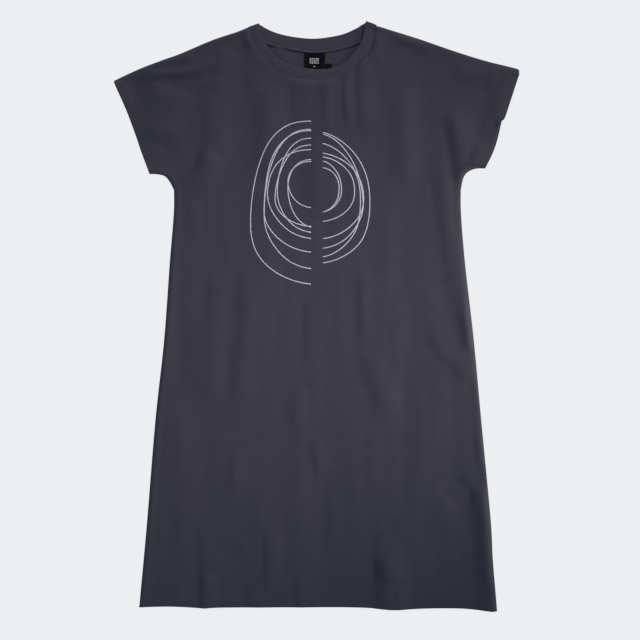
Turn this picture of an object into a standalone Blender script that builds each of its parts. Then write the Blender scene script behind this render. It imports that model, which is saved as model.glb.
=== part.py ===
"""T-shirt dress in heavy cotton jersey, laid flat with its front up.

Sizes are in millimetres and are turned to metres where a mesh is made. X runs across the
dress, Y runs from the hem (-Y) to the neck (+Y) and Z is up from the surface it lies on.
Heights in the tables are measured up the dress from the lowest point of the hem, and X from
the middle of the sleeve span. The left columns are the -X side.

The two panels share one triangulation of the dress's outline, so every layer that lies on
another has the same points, moved up: back panel, turned-up hems, front panel.
"""

import math
from collections import namedtuple

import bpy
from mathutils import Vector
from mathutils.geometry import delaunay_2d_cdt

MM = 0.001

# ---- driving sizes -------------------------------------------------------------------------
LENGTH = 950.0            # lowest point of the hem to the high neck point
CLOTH = 1.0               # jersey thickness
RIB = 1.8                 # neckband thickness, two layers of rib
GAP = 0.3                 # clear space between two pieces
NECK_SEAM_GAP = 0.45      # the same along the neck seam, in plan
HEM_TURN_UP = 46.0        # depth of the turned-up hem
SLEEVE_TURN_UP = 24.0     # depth of the turned-up sleeve hem
LOFT = 2.1                # how far the front stands off the back where nothing lies between
LEAST_LOFT = 0.42         # in the deepest fold
MOST_LOFT = 3.5           # on the highest fold
EDGE_ROLL = 16.0          # distance from a seamed edge over which the loft builds up
TAPE_WIDTH = 3.5          # the ridge of the back neck seam
TAPE_THICKNESS = 0.9
LABEL_WIDTH = 33.0
LABEL_LENGTH = 36.0
LABEL_TOP = 899.2         # height of the label's upper edge, just below the neck tape
LABEL_MIDDLE = -3.3       # X of the label's middle
LABEL_THICKNESS = 0.6
TAG_WIDTH = 19.0
TAG_LENGTH = 13.0
TAG_TOP = 882.0
TAG_RIGHT = 24.6
TAG_THICKNESS = 0.5

# ---- grid of the panels --------------------------------------------------------------------
GRID_X = 16.0             # fine across the dress, because its folds run down it
GRID_Y = 40.0
EDGE_STEP = 22.0          # spacing of the points along an edge
EDGE_CLEARANCE = 7.0      # grid points keep this far from every edge and fold line
BAND_STEPS = 3            # sections of the neckband between two rows of its tables
LINE_OVERRUN = 12.0       # a fold line is cut on past the edges that it meets
FOLD_STEPS = 4            # pieces of a fold's centre line between two of its points

# ---- outline -------------------------------------------------------------------------------
Place = namedtuple("Place", "x height")

HEM = [Place(-286, 7), Place(-230, 8), Place(-181, 5.5), Place(-150, 6.6), Place(50, 7),
       Place(102, 4.5), Place(128, 3), Place(180, 5), Place(230, 5), Place(257, 3),
       Place(283, 0), Place(290, 1)]

SideRow = namedtuple("SideRow", "height left right")
SIDE_SEAMS = [SideRow(4, -286.3, 290.2), SideRow(83, -279, 283.8), SideRow(150, -273, 280),
              SideRow(308, -260, 265), SideRow(437, -246, 253), SideRow(560, -237, 239),
              SideRow(640, -230.5, 232.5), SideRow(678, -230, 232)]

SLEEVE_LEFT_UNDER = [Place(-230, 678), Place(-236, 690), Place(-244, 700), Place(-256, 703.5),
                     Place(-269, 704)]
SLEEVE_RIGHT_UNDER = [Place(232, 678), Place(236, 697), Place(243, 707), Place(256, 712.5),
                      Place(271, 713)]
CUFF_LEFT = [Place(-269, 704), Place(-281, 736), Place(-294, 774), Place(-309, 813),
             Place(-326.2, 852)]
CUFF_RIGHT = [Place(271, 713), Place(282, 735), Place(290, 757), Place(297, 784),
              Place(302.5, 794), Place(313, 826), Place(326.2, 866)]
SHOULDER_LEFT = [Place(-326.2, 854.5), Place(-287, 873), Place(-248, 888), Place(-220, 898),
                 Place(-168, 920), Place(-129, 933), Place(-111.5, 940)]
SHOULDER_RIGHT = [Place(96.5, 943), Place(116, 937), Place(167, 921), Place(219, 903),
                  Place(270, 887), Place(321, 874), Place(326.2, 869)]

# ---- neckband: a row for each section, from the left neck point to the right one -----------
BandRow = namedtuple("BandRow", "free_x free_height seam_x seam_height")
FRONT_BAND = [BandRow(-92.5, 945.2, -110, 939), BandRow(-88, 930, -108.5, 927),
              BandRow(-82, 914, -103, 911), BandRow(-66, 895, -83, 889.5),
              BandRow(-51, 883.3, -62, 871.5), BandRow(-20, 875.2, -23, 851.8),
              BandRow(-1, 872.7, -1, 848.8), BandRow(20, 873.8, 25, 853),
              BandRow(39, 881, 50, 864), BandRow(55, 892.5, 70, 880),
              BandRow(70, 914, 89, 907), BandRow(76, 933, 94, 930),
              BandRow(79, 948.2, 95, 942)]
BACK_BAND = [BandRow(-92.5, 945.2, -110, 939), BandRow(-80, 938, -95, 926),
             BandRow(-64, 931.3, -73, 916.5), BandRow(-38, 925.3, -43, 909.8),
             BandRow(-2, 922.4, -2, 904.2), BandRow(38, 928.4, 43, 911.2),
             BandRow(62, 938, 73, 923), BandRow(71, 943.5, 86, 932),
             BandRow(79, 948.2, 95, 942)]
FOLD_SEGMENTS = 6         # facets round the fold at each neck point
BAND_LIFT = 1.3           # rise of the front band above its folds
BAND_LIFT_SECTIONS = 5    # sections over which it rises

# ---- largest folds of the front: soft troughs (-) and ridges (+) ---------------------------
FOLD_END_SHARE = 0.35     # of its full rise that a fold keeps at its ends
RIDGE_OVER_HEM = 0.35     # of a ridge's rise that shows over a turn-up
Fold = namedtuple("Fold", "x1 height1 x2 height2 x3 height3 width rise")
FOLDS = [
    Fold(-162, 838, -168, 778, -218, 702, 26, -1.9),      # under the left arm
    Fold(-126, 845, -124, 760, -136, 650, 34, 1.2),
    Fold(-218, 830, -262, 790, -278, 748, 30, -1.6),      # left sleeve
    Fold(-240, 864, -196, 862, -154, 896, 14, -1.5),      # left shoulder
    Fold(36, 862, 44, 812, 46, 740, 20, -1.6),            # under the neck
    Fold(-18, 850, -20, 800, -14, 740, 20, -1.2),
    Fold(124, 836, 132, 765, 130, 690, 26, -1.7),         # down the right front
    Fold(84, 850, 88, 780, 90, 700, 24, 1.1),
    Fold(204, 812, 220, 762, 228, 694, 20, -2.0),         # under the right arm
    Fold(166, 752, 190, 650, 206, 570, 26, -1.2),
    Fold(222, 600, 234, 490, 242, 424, 18, -1.9),         # from the right side seam
    Fold(176, 450, 226, 370, 254, 338, 24, -1.5),
    Fold(194, 252, 232, 206, 256, 184, 22, -1.6),
    Fold(262, 200, 270, 110, 262, 10, 26, -1.6),
    Fold(62, 520, 72, 400, 106, 270, 28, -1.3),           # down the middle
    Fold(-170, 520, -178, 430, -184, 350, 24, -1.1),
    Fold(-152, 500, -158, 400, -166, 310, 28, 1.1),
    Fold(-188, 110, -190, 60, -192, 8, 16, -1.1),         # up from the hem
    Fold(100, 90, 96, 50, 92, 8, 34, -1.6),
    Fold(146, 90, 142, 40, 140, 8, 30, 1.2),
]

# ---- finishes ------------------------------------------------------------------------------
Finish = namedtuple("Finish", "name colour roughness metallic")
JERSEY = Finish("jersey", (0.046, 0.044, 0.065), 0.9, 0.0)
RIB_KNIT = Finish("rib_knit", (0.052, 0.050, 0.072), 0.9, 0.0)
LABEL_WEAVE = Finish("label_weave", (0.008, 0.008, 0.009), 0.6, 0.0)

LEVEL_ON_BACK = CLOTH + GAP                          # underside of what lies on the back panel
LEVEL_FRONT_TURN_UP = LEVEL_ON_BACK + CLOTH + GAP    # lowest underside of a front turn-up
LEVEL_FRONT_OVER_HEM = LEVEL_FRONT_TURN_UP + CLOTH + GAP


# ---- curves and distances ------------------------------------------------------------------
def smooth_curve(places, step=None, pieces=None):
    """Points of a smooth curve through the places, at a step or in pieces per span."""
    points = [Vector((place[0], place[1])) for place in places]
    ends = [2 * points[0] - points[1]] + points + [2 * points[-1] - points[-2]]
    curve = []
    for index in range(1, len(ends) - 2):
        before, start, end, after = ends[index - 1:index + 3]
        count = pieces or max(1, round((end - start).length / step))
        for part in range(count):
            curve.append(catmull_rom(before, start, end, after, part / count))
    curve.append(points[-1])
    return curve


def catmull_rom(before, start, end, after, t):
    """One point between start and end, with the tangents that their neighbours give."""
    tangent_start = (end - before) * 0.5
    tangent_end = (after - start) * 0.5
    t2 = t * t
    t3 = t2 * t
    return (start * (2 * t3 - 3 * t2 + 1) + tangent_start * (t3 - 2 * t2 + t)
            + end * (3 * t2 - 2 * t3) + tangent_end * (t3 - t2))


def nearest_on_line(point, line):
    """Distance from a point to a polyline, and how far along it the nearest place is, 0 to 1."""
    best = (math.inf, 0.0)
    for index in range(len(line) - 1):
        start = line[index]
        run = line[index + 1] - start
        share = max(0.0, min(1.0, (point - start).dot(run) / max(run.length_squared, 1e-9)))
        distance = (point - start - run * share).length
        if distance < best[0]:
            best = (distance, (index + share) / (len(line) - 1))
    return best


def inside(point, polygon):
    """Whether a point is inside a closed polygon."""
    result = False
    for index, corner in enumerate(polygon):
        previous = polygon[index - 1]
        if (corner.y > point.y) == (previous.y > point.y):
            continue
        crossing = corner.x + (point.y - corner.y) * (previous.x - corner.x) / (previous.y - corner.y)
        if point.x < crossing:
            result = not result
    return result


def ease(share):
    """0 to 1 with a soft start and end."""
    share = max(0.0, min(1.0, share))
    return share * share * (3 - 2 * share)


def shifted(line, distance):
    """The polyline moved sideways to its left by a distance."""
    moved = []
    for index, point in enumerate(line):
        ahead = line[min(index + 1, len(line) - 1)]
        behind = line[max(index - 1, 0)]
        run = (ahead - behind).normalized()
        moved.append(point + Vector((-run.y, run.x)) * distance)
    return moved


def extended(line):
    """The polyline with both ends drawn out straight, past the edges that it meets."""
    first = line[0] + (line[0] - line[1]).normalized() * LINE_OVERRUN
    last = line[-1] + (line[-1] - line[-2]).normalized() * LINE_OVERRUN
    return [first] + line + [last]


# ---- outline of the dress ------------------------------------------------------------------
def band_edges(rows):
    """Free edge and seam edge of a neckband table, with matching points."""
    free = smooth_curve([(row.free_x, row.free_height) for row in rows], pieces=BAND_STEPS)
    seam = smooth_curve([(row.seam_x, row.seam_height) for row in rows], pieces=BAND_STEPS)
    return free, seam


def neck_edge(rows):
    """The panel's neck edge: the band's seam edge, moved out by the seam gap."""
    free, seam = band_edges(rows)
    return [outer + (outer - inner).normalized() * NECK_SEAM_GAP
            for inner, outer in zip(free, seam)]


HEM_EDGE = smooth_curve(HEM, EDGE_STEP)
SIDE_LEFT = smooth_curve([(row.left, row.height) for row in SIDE_SEAMS], EDGE_STEP)
SIDE_RIGHT = smooth_curve([(row.right, row.height) for row in SIDE_SEAMS], EDGE_STEP)
UNDER_LEFT = smooth_curve(SLEEVE_LEFT_UNDER, EDGE_STEP / 2)
UNDER_RIGHT = smooth_curve(SLEEVE_RIGHT_UNDER, EDGE_STEP / 2)
CUFF_EDGE_LEFT = smooth_curve(CUFF_LEFT, EDGE_STEP)
CUFF_EDGE_RIGHT = smooth_curve(CUFF_RIGHT, EDGE_STEP)
TOP_LEFT = smooth_curve(SHOULDER_LEFT, EDGE_STEP)
TOP_RIGHT = smooth_curve(SHOULDER_RIGHT, EDGE_STEP)
NECK_FRONT = neck_edge(FRONT_BAND)
NECK_BACK = neck_edge(BACK_BAND)

RIGHT_HALF = SIDE_RIGHT[:-1] + UNDER_RIGHT[:-1] + CUFF_EDGE_RIGHT + TOP_RIGHT[::-1]
LEFT_HALF = SIDE_LEFT[:-1] + UNDER_LEFT[:-1] + CUFF_EDGE_LEFT + TOP_LEFT
SEAMED_EDGES = [SIDE_RIGHT + UNDER_RIGHT[1:], SIDE_LEFT + UNDER_LEFT[1:], TOP_LEFT, TOP_RIGHT]
HEM_LINE = extended([point + Vector((0, HEM_TURN_UP)) for point in HEM_EDGE])
CUFF_LINE_LEFT = extended(shifted(CUFF_EDGE_LEFT, -SLEEVE_TURN_UP))
CUFF_LINE_RIGHT = extended(shifted(CUFF_EDGE_RIGHT, SLEEVE_TURN_UP))


def silhouette(neck):
    """Closed outline of a panel, anticlockwise from the left end of the hem."""
    return HEM_EDGE[:-1] + RIGHT_HALF + neck[::-1] + LEFT_HALF[::-1]


def strip_region(edge, line):
    """Closed outline of the strip between an edge and the fold line inside it."""
    return extended(edge) + line[::-1]


# ---- shape of the front --------------------------------------------------------------------
def fold_lines():
    """Each fold of the table with its smooth centre line."""
    return [(fold, smooth_curve([(fold.x1, fold.height1), (fold.x2, fold.height2),
                                 (fold.x3, fold.height3)], pieces=FOLD_STEPS))
            for fold in FOLDS]


FOLD_LINES = fold_lines()


def fold_relief(point):
    """Sum of the folds at a point: each fades across its width and towards its ends."""
    total = 0.0
    for fold, line in FOLD_LINES:
        distance, along = nearest_on_line(point, line)
        across = math.exp(-(2 * distance / fold.width) ** 2)
        lengthwise = FOLD_END_SHARE + (1 - FOLD_END_SHARE) * math.sin(math.pi * along)
        total += fold.rise * across * lengthwise
    return total


def front_underside(point, over_turn_up):
    """Height of the front panel's underside above the surface."""
    from_seam = min(nearest_on_line(point, edge)[0] for edge in SEAMED_EDGES)
    stand_off = ease(from_seam / EDGE_ROLL)
    lift = max(LEAST_LOFT, LOFT + fold_relief(point)) * stand_off
    height = LEVEL_ON_BACK + min(lift, MOST_LOFT)
    if over_turn_up:
        height = max(height, LEVEL_FRONT_OVER_HEM + RIDGE_OVER_HEM * fold_ridge(point))
    return height


def fold_ridge(point):
    """The rising part of the folds, which also lifts the cloth over a turn-up."""
    return max(0.0, fold_relief(point))


# ---- triangulation -------------------------------------------------------------------------
def grid_points(outline, lines):
    """Staggered points inside the outline, clear of its edge and of the lines."""
    clear_of = [outline + outline[:1]] + lines
    points = []
    row = 0
    height = GRID_Y / 2
    while height < LENGTH:
        x = -LENGTH / 2 + (row % 2) * GRID_X / 2
        while x < LENGTH / 2:
            point = Vector((x, height))
            near = min(nearest_on_line(point, line)[0] for line in clear_of)
            if near > EDGE_CLEARANCE and inside(point, outline):
                points.append(point)
            x += GRID_X
        row += 1
        height += GRID_Y
    return points


def triangulate():
    """Points and triangles of the whole dress, split along every seam and turn-up line."""
    outline = silhouette(NECK_BACK)
    lines = [NECK_FRONT, HEM_LINE, CUFF_LINE_LEFT, CUFF_LINE_RIGHT]
    points = list(outline)
    edges = [(index, (index + 1) % len(outline)) for index in range(len(outline))]
    for line in lines:
        first = len(points)
        points += line
        edges += [(first + index, first + index + 1) for index in range(len(line) - 1)]
    points += grid_points(outline, lines)
    result = delaunay_2d_cdt(points, edges, [], 0, 1e-4)
    return result[0], result[2]


def triangles_in(points, triangles, *regions):
    """The triangles whose middle lies inside every region."""
    chosen = []
    for triangle in triangles:
        middle = sum((points[index] for index in triangle), Vector((0, 0))) / 3
        if all(inside(middle, region) for region in regions):
            chosen.append(triangle)
    return chosen


# ---- meshes --------------------------------------------------------------------------------
def to_metres(x, height, level):
    """World position of a place on the dress."""
    return (x * MM, (height - LENGTH / 2) * MM, level * MM)


def material_for(name, finish):
    """A Principled material of its own for one piece."""
    material = bpy.data.materials.new(name)
    material.use_nodes = True
    shader = material.node_tree.nodes["Principled BSDF"]
    shader.inputs["Base Color"].default_value = (*finish.colour, 1.0)
    shader.inputs["Roughness"].default_value = finish.roughness
    shader.inputs["Metallic"].default_value = finish.metallic
    return material


def add_shell(name, places, faces, thickness, finish, offset=1.0):
    """An open surface with a Solidify wall: offset 1 builds up from it, 0 on both sides."""
    mesh = bpy.data.meshes.new(name)
    mesh.from_pydata([to_metres(*place) for place in places], [], faces)
    mesh.validate()
    piece = bpy.data.objects.new(name, mesh)
    wall = piece.modifiers.new("wall", "SOLIDIFY")
    wall.thickness = thickness * MM
    wall.offset = offset
    wall.use_even_offset = False
    mesh.materials.append(material_for(name, finish))
    DRESS.objects.link(piece)
    return piece


def add_layer(name, points, triangles, level_at, finish=JERSEY):
    """One layer of cloth on the shared triangulation; level_at gives its underside."""
    used = sorted({index for triangle in triangles for index in triangle})
    renumbered = {old: new for new, old in enumerate(used)}
    places = [(points[index].x, points[index].y, level_at(index)) for index in used]
    faces = [[renumbered[index] for index in triangle] for triangle in triangles]
    return add_shell(name, places, faces, CLOTH, finish)


def build_panels():
    """Front and back panels and the turn-ups of the hem and sleeves."""
    points, triangles = triangulate()
    turn_ups = {"hem": strip_region(HEM_EDGE, HEM_LINE),
                "sleeve_hem_left": strip_region(CUFF_EDGE_LEFT, CUFF_LINE_LEFT),
                "sleeve_hem_right": strip_region(CUFF_EDGE_RIGHT, CUFF_LINE_RIGHT)}
    back = triangles_in(points, triangles, silhouette(NECK_BACK))
    front = triangles_in(points, back, silhouette(NECK_FRONT))
    strips = {name: triangles_in(points, front, region) for name, region in turn_ups.items()}
    doubled = {index for strip in strips.values() for triangle in strip for index in triangle}
    front_levels = {index: front_underside(points[index], index in doubled)
                    for triangle in front for index in triangle}
    add_layer("back_panel", points, back, lambda index: 0.0)
    add_layer("front_panel", points, front, lambda index: front_levels[index])
    for name, strip in strips.items():
        add_layer("back_" + name, points, strip, lambda index: LEVEL_ON_BACK)
        add_layer("front_" + name, points, strip,
                  lambda index: front_levels[index] - CLOTH - GAP)


def band_sections(rows, level_at):
    """Matching free-edge and seam-edge places of one strip of the neckband."""
    free, seam = band_edges(rows)
    return [((*inner, level_at(index, len(free))), (*outer, level_at(index, len(free))))
            for index, (inner, outer) in enumerate(zip(free, seam))]


def front_band_level(index, count):
    """Middle of the front strip's wall: low at its folds and raised between them."""
    low = RIB * 1.5 + GAP
    from_fold = min(index, count - 1 - index)
    return low + BAND_LIFT * ease(from_fold / BAND_LIFT_SECTIONS)


def fold_sections(section_top, section_below, outward):
    """Sections round the fold that joins the front strip to the back strip."""
    sections = []
    radius = (section_top[0][2] - section_below[0][2]) / 2
    for part in range(1, FOLD_SEGMENTS):
        angle = math.pi * part / FOLD_SEGMENTS
        reach = Vector(outward) * radius * math.sin(angle)
        level = section_below[0][2] + radius * (1 + math.cos(angle))
        sections.append(tuple((place[0] + reach.x, place[1] + reach.y, level)
                              for place in section_top))
    return sections


def away_from_dress(section):
    """Direction square to a fold section, pointing up and off the dress."""
    run = Vector(section[1][:2]) - Vector(section[0][:2])
    side = Vector((-run.y, run.x)).normalized()
    return side if side.y > 0 else -side


def build_neckband():
    """One closed band of rib: front strip, fold, back strip, fold."""
    front = band_sections(FRONT_BAND, front_band_level)
    back = band_sections(BACK_BAND, lambda index, count: RIB / 2)
    right_fold = fold_sections(front[-1], back[-1], away_from_dress(front[-1]))
    left_fold = fold_sections(front[0], back[0], away_from_dress(front[0]))
    ring = front + right_fold + back[::-1] + left_fold[::-1]
    places = []
    faces = []
    for inner, outer in ring:
        places += [inner, outer]
    for index in range(len(ring)):
        following = (index + 1) % len(ring)
        faces.append((2 * index, 2 * index + 1, 2 * following + 1, 2 * following))
    add_shell("neckband", places, faces, RIB, RIB_KNIT, offset=0.0)


def build_neck_tape():
    """The narrow ridge that covers the back neck seam, on the back panel."""
    free, seam = band_edges(BACK_BAND)
    first = 2 * BAND_STEPS
    last = len(seam) - 2 * BAND_STEPS
    places = []
    for inner, outer in list(zip(free, seam))[first:last]:
        out = (outer - inner).normalized()
        near = outer + out * NECK_SEAM_GAP
        far = near + out * TAPE_WIDTH
        places += [(*near, LEVEL_ON_BACK), (*far, LEVEL_ON_BACK)]
    count = len(places) // 2
    faces = [(2 * index, 2 * index + 1, 2 * index + 3, 2 * index + 2) for index in range(count - 1)]
    add_shell("neck_tape", places, faces, TAPE_THICKNESS, RIB_KNIT)


def add_label(name, left, right, bottom, top, level, thickness):
    """A flat rectangular woven label."""
    places = [(left, bottom, level), (right, bottom, level), (right, top, level),
              (left, top, level)]
    add_shell(name, places, [(0, 1, 2, 3)], thickness, LABEL_WEAVE)


def build_labels():
    """The bare main label inside the back neck, and the small tag tucked under it."""
    tag_level = LEVEL_ON_BACK
    label_level = tag_level + TAG_THICKNESS + GAP
    add_label("size_label", TAG_RIGHT - TAG_WIDTH, TAG_RIGHT, TAG_TOP - TAG_LENGTH, TAG_TOP,
              tag_level, TAG_THICKNESS)
    add_label("main_label", LABEL_MIDDLE - LABEL_WIDTH / 2, LABEL_MIDDLE + LABEL_WIDTH / 2,
              LABEL_TOP - LABEL_LENGTH, LABEL_TOP, label_level, LABEL_THICKNESS)


for old in list(bpy.data.objects):
    bpy.data.objects.remove(old, do_unlink=True)
DRESS = bpy.data.collections.new("t_shirt_dress")
bpy.context.scene.collection.children.link(DRESS)
build_panels()
build_neckband()
build_neck_tape()
build_labels()
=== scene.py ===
"""T-shirt dress in charcoal cotton jersey, laid flat with its front up.

The cloth is two panels of one cut, each a thin shell whose edges roll together at the side
and shoulder seams and turn under at the hem and cuffs. The front carries the creases, a
print of thin pale loops and the stitching. A doubled rib band closes the neck.

Lengths are in millimetres until a mesh is made. X runs across the dress; heights run up it
from the lowest point of the hem to the neck; levels are above the floor it lies on.
"""

import logging
import math
from dataclasses import astuple, dataclass, field
from enum import Enum
from typing import Any, Sequence

import bpy
import numpy as np
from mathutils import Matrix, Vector, noise
from mathutils.bvhtree import BVHTree
from mathutils.geometry import delaunay_2d_cdt


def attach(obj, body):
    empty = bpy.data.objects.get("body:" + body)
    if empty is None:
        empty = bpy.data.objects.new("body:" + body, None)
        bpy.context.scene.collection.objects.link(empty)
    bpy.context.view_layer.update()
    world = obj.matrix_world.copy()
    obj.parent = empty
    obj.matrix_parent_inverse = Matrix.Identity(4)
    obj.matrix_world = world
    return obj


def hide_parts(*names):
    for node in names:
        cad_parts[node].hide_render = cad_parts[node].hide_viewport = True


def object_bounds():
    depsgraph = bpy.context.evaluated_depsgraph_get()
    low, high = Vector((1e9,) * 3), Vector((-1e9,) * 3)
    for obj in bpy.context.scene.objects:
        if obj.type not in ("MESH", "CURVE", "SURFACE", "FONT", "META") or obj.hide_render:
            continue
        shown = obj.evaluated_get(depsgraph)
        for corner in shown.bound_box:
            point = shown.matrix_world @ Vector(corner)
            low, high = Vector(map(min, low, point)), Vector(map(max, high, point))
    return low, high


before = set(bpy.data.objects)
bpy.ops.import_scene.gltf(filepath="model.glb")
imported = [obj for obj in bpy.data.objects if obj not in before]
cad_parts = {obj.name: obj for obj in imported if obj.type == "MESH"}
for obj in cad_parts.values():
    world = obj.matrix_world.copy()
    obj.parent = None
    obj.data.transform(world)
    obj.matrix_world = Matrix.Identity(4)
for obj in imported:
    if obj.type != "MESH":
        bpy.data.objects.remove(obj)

CAD_BOX = [list(corner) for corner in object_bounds()]
MM = 0.001
FINER = 6                          # points of a curve for each one kept of it
CREASE_STEP = 12                   # spacing of the points along a crease
ABOVE = 0.1                        # metres above the floor, clear of everything
TINY = 1e-9                        # keeps a division by a length from failing
MERGE = 1e-5                       # points nearer than this are one
CRISP = 62.0                       # degrees; an edge that bends more than this stays crisp
BODY = "root"
LENGTH = (CAD_BOX[1][1] - CAD_BOX[0][1]) / MM

logging.basicConfig(level=logging.INFO, format="%(message)s")
log = logging.getLogger("dress")

Place = tuple[float, float]


# ---- curves and levels ---------------------------------------------------------------------
def with_ends(rows: np.ndarray) -> np.ndarray:
    """The rows with one more at each end, mirrored, for a smooth curve to start and stop."""
    return np.vstack([2 * rows[0] - rows[1], rows, 2 * rows[-1] - rows[-2]])


def between(before: np.ndarray, start: np.ndarray, end: np.ndarray, after: np.ndarray,
            share: np.ndarray) -> np.ndarray:
    """Places on a smooth curve from one place to the next.

    Args:
        before: the place before the start.
        start: where the stretch starts.
        end: where it ends.
        after: the place after the end.
        share: how far along the stretch each place lies, 0 to 1.

    Returns:
        The places, one row each.
    """
    t, t2, t3 = share, share * share, share * share * share
    return (start * (2 * t3 - 3 * t2 + 1) + end * (3 * t2 - 2 * t3)
            + (end - before) * 0.5 * (t3 - 2 * t2 + t) + (after - start) * 0.5 * (t3 - t2))


def smooth_curve(places: Sequence[Place], step: float) -> np.ndarray:
    """A smooth curve through some places.

    Args:
        places: the places, each (x, height).
        step: the spacing of the curve's points.

    Returns:
        The points, one row each.
    """
    rows = with_ends(np.array(places, float))
    curve = []
    for before, start, end, after in zip(rows, rows[1:], rows[2:], rows[3:]):
        count = max(1, round(float(np.linalg.norm(end - start)) / step))
        curve.append(between(before, start, end, after, np.arange(count)[:, None] / count))
    return np.vstack([*curve, rows[-2]])


def even_curve(places: Sequence[Place], step: float) -> np.ndarray:
    """A smooth curve through some places, with its points evenly spaced.

    Args:
        places: the places, each (x, height).
        step: the wanted spacing of the points.

    Returns:
        The points, one row each.
    """
    fine = smooth_curve(places, step / FINER)
    return spaced(fine, max(2, round(length_of(fine) / step) + 1))


def length_of(line: np.ndarray) -> float:
    """Length of a polyline."""
    return float(np.linalg.norm(np.diff(line, axis=0), axis=1).sum())


def spaced(line: np.ndarray, count: int) -> np.ndarray:
    """The polyline again, as evenly spaced points.

    Args:
        line: the polyline's points.
        count: how many points to give.

    Returns:
        The evenly spaced points.
    """
    along = np.concatenate([[0], np.cumsum(np.linalg.norm(np.diff(line, axis=0), axis=1))])
    at = np.linspace(0, along[-1], count)
    return np.stack([np.interp(at, along, line[:, axis]) for axis in range(line.shape[1])], axis=1)


def directions(line: np.ndarray) -> np.ndarray:
    """Unit direction of a polyline at each of its points."""
    run = np.gradient(line, axis=0)
    return run / np.maximum(np.linalg.norm(run, axis=1), TINY)[:, None]


def beside(line: np.ndarray, distance: float) -> np.ndarray:
    """The polyline moved sideways to its left by a distance."""
    run = directions(line)
    return line + np.stack([-run[:, 1], run[:, 0]], axis=1) * distance


def nearest(points: np.ndarray, line: np.ndarray) -> tuple[np.ndarray, np.ndarray, np.ndarray]:
    """Where points lie beside a polyline.

    Args:
        points: the points to place.
        line: the polyline's points.

    Returns:
        The distance of each point, the share of the line's length where it is nearest, and
        its side: 1 on the line's left, -1 on its right.
    """
    reach = np.concatenate([[0], np.cumsum(np.linalg.norm(np.diff(line, axis=0), axis=1))])
    best = np.full(len(points), np.inf)
    along = np.zeros(len(points))
    side = np.ones(len(points))
    for index in range(len(line) - 1):
        start, run = line[index], line[index + 1] - line[index]
        offset = points - start
        share = np.clip(offset @ run / max(float(run @ run), TINY), 0, 1)
        distance = np.linalg.norm(offset - share[:, None] * run, axis=1)
        closer = distance < best
        best[closer] = distance[closer]
        span = reach[index + 1] - reach[index]
        along[closer] = (reach[index] + share[closer] * span) / reach[-1]
        side[closer] = np.sign(run[0] * offset[closer, 1] - run[1] * offset[closer, 0])
    return best, along, side


def inside(points: np.ndarray, polygon: np.ndarray) -> np.ndarray:
    """Whether each point is inside a closed polygon.

    Args:
        points: the points to test.
        polygon: its corners in order.

    Returns:
        True for each point that is inside.
    """
    result = np.zeros(len(points), bool)
    x, y = points[:, 0], points[:, 1]
    for (x1, y1), (x2, y2) in zip(polygon, np.roll(polygon, 1, axis=0)):
        crosses = (y1 > y) != (y2 > y)
        if y1 != y2:
            result ^= crosses & (x < x1 + (y - y1) * (x2 - x1) / (y2 - y1))
    return result


def ease(share: np.ndarray) -> np.ndarray:
    """0 to 1 with a soft start and end."""
    share = np.clip(share, 0, 1)
    return share * share * (3 - 2 * share)


def quarter_round(share: np.ndarray) -> np.ndarray:
    """0 to 1 along a quarter of a circle, steep at first."""
    return np.sqrt(1 - (1 - np.clip(share, 0, 1)) ** 2)


def hump(distance: np.ndarray, middle: float, width: float) -> np.ndarray:
    """A soft bump of height 1 at a distance, fading over a width."""
    return np.exp(-((distance - middle) / width) ** 2)


def at_least(level: np.ndarray, lowest: np.ndarray, softness: float = 0.5) -> np.ndarray:
    """The level, kept above a lowest one by a soft bend."""
    return (level + lowest + np.sqrt((level - lowest) ** 2 + softness ** 2)) / 2


# ---- the cut -------------------------------------------------------------------------------
class Side(Enum):
    """A side of the dress as seen from above."""

    LEFT = "left"
    RIGHT = "right"


class Face(Enum):
    """Which panel of the dress."""

    FRONT = "front"
    BACK = "back"


@dataclass(frozen=True)
class SideRow:
    """Where the two side seams are at one height."""

    height: float
    left: float
    right: float


@dataclass(frozen=True)
class BandRow:
    """One section of the neckband: its free edge and its seam edge."""

    free: Place
    seam: Place


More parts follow.
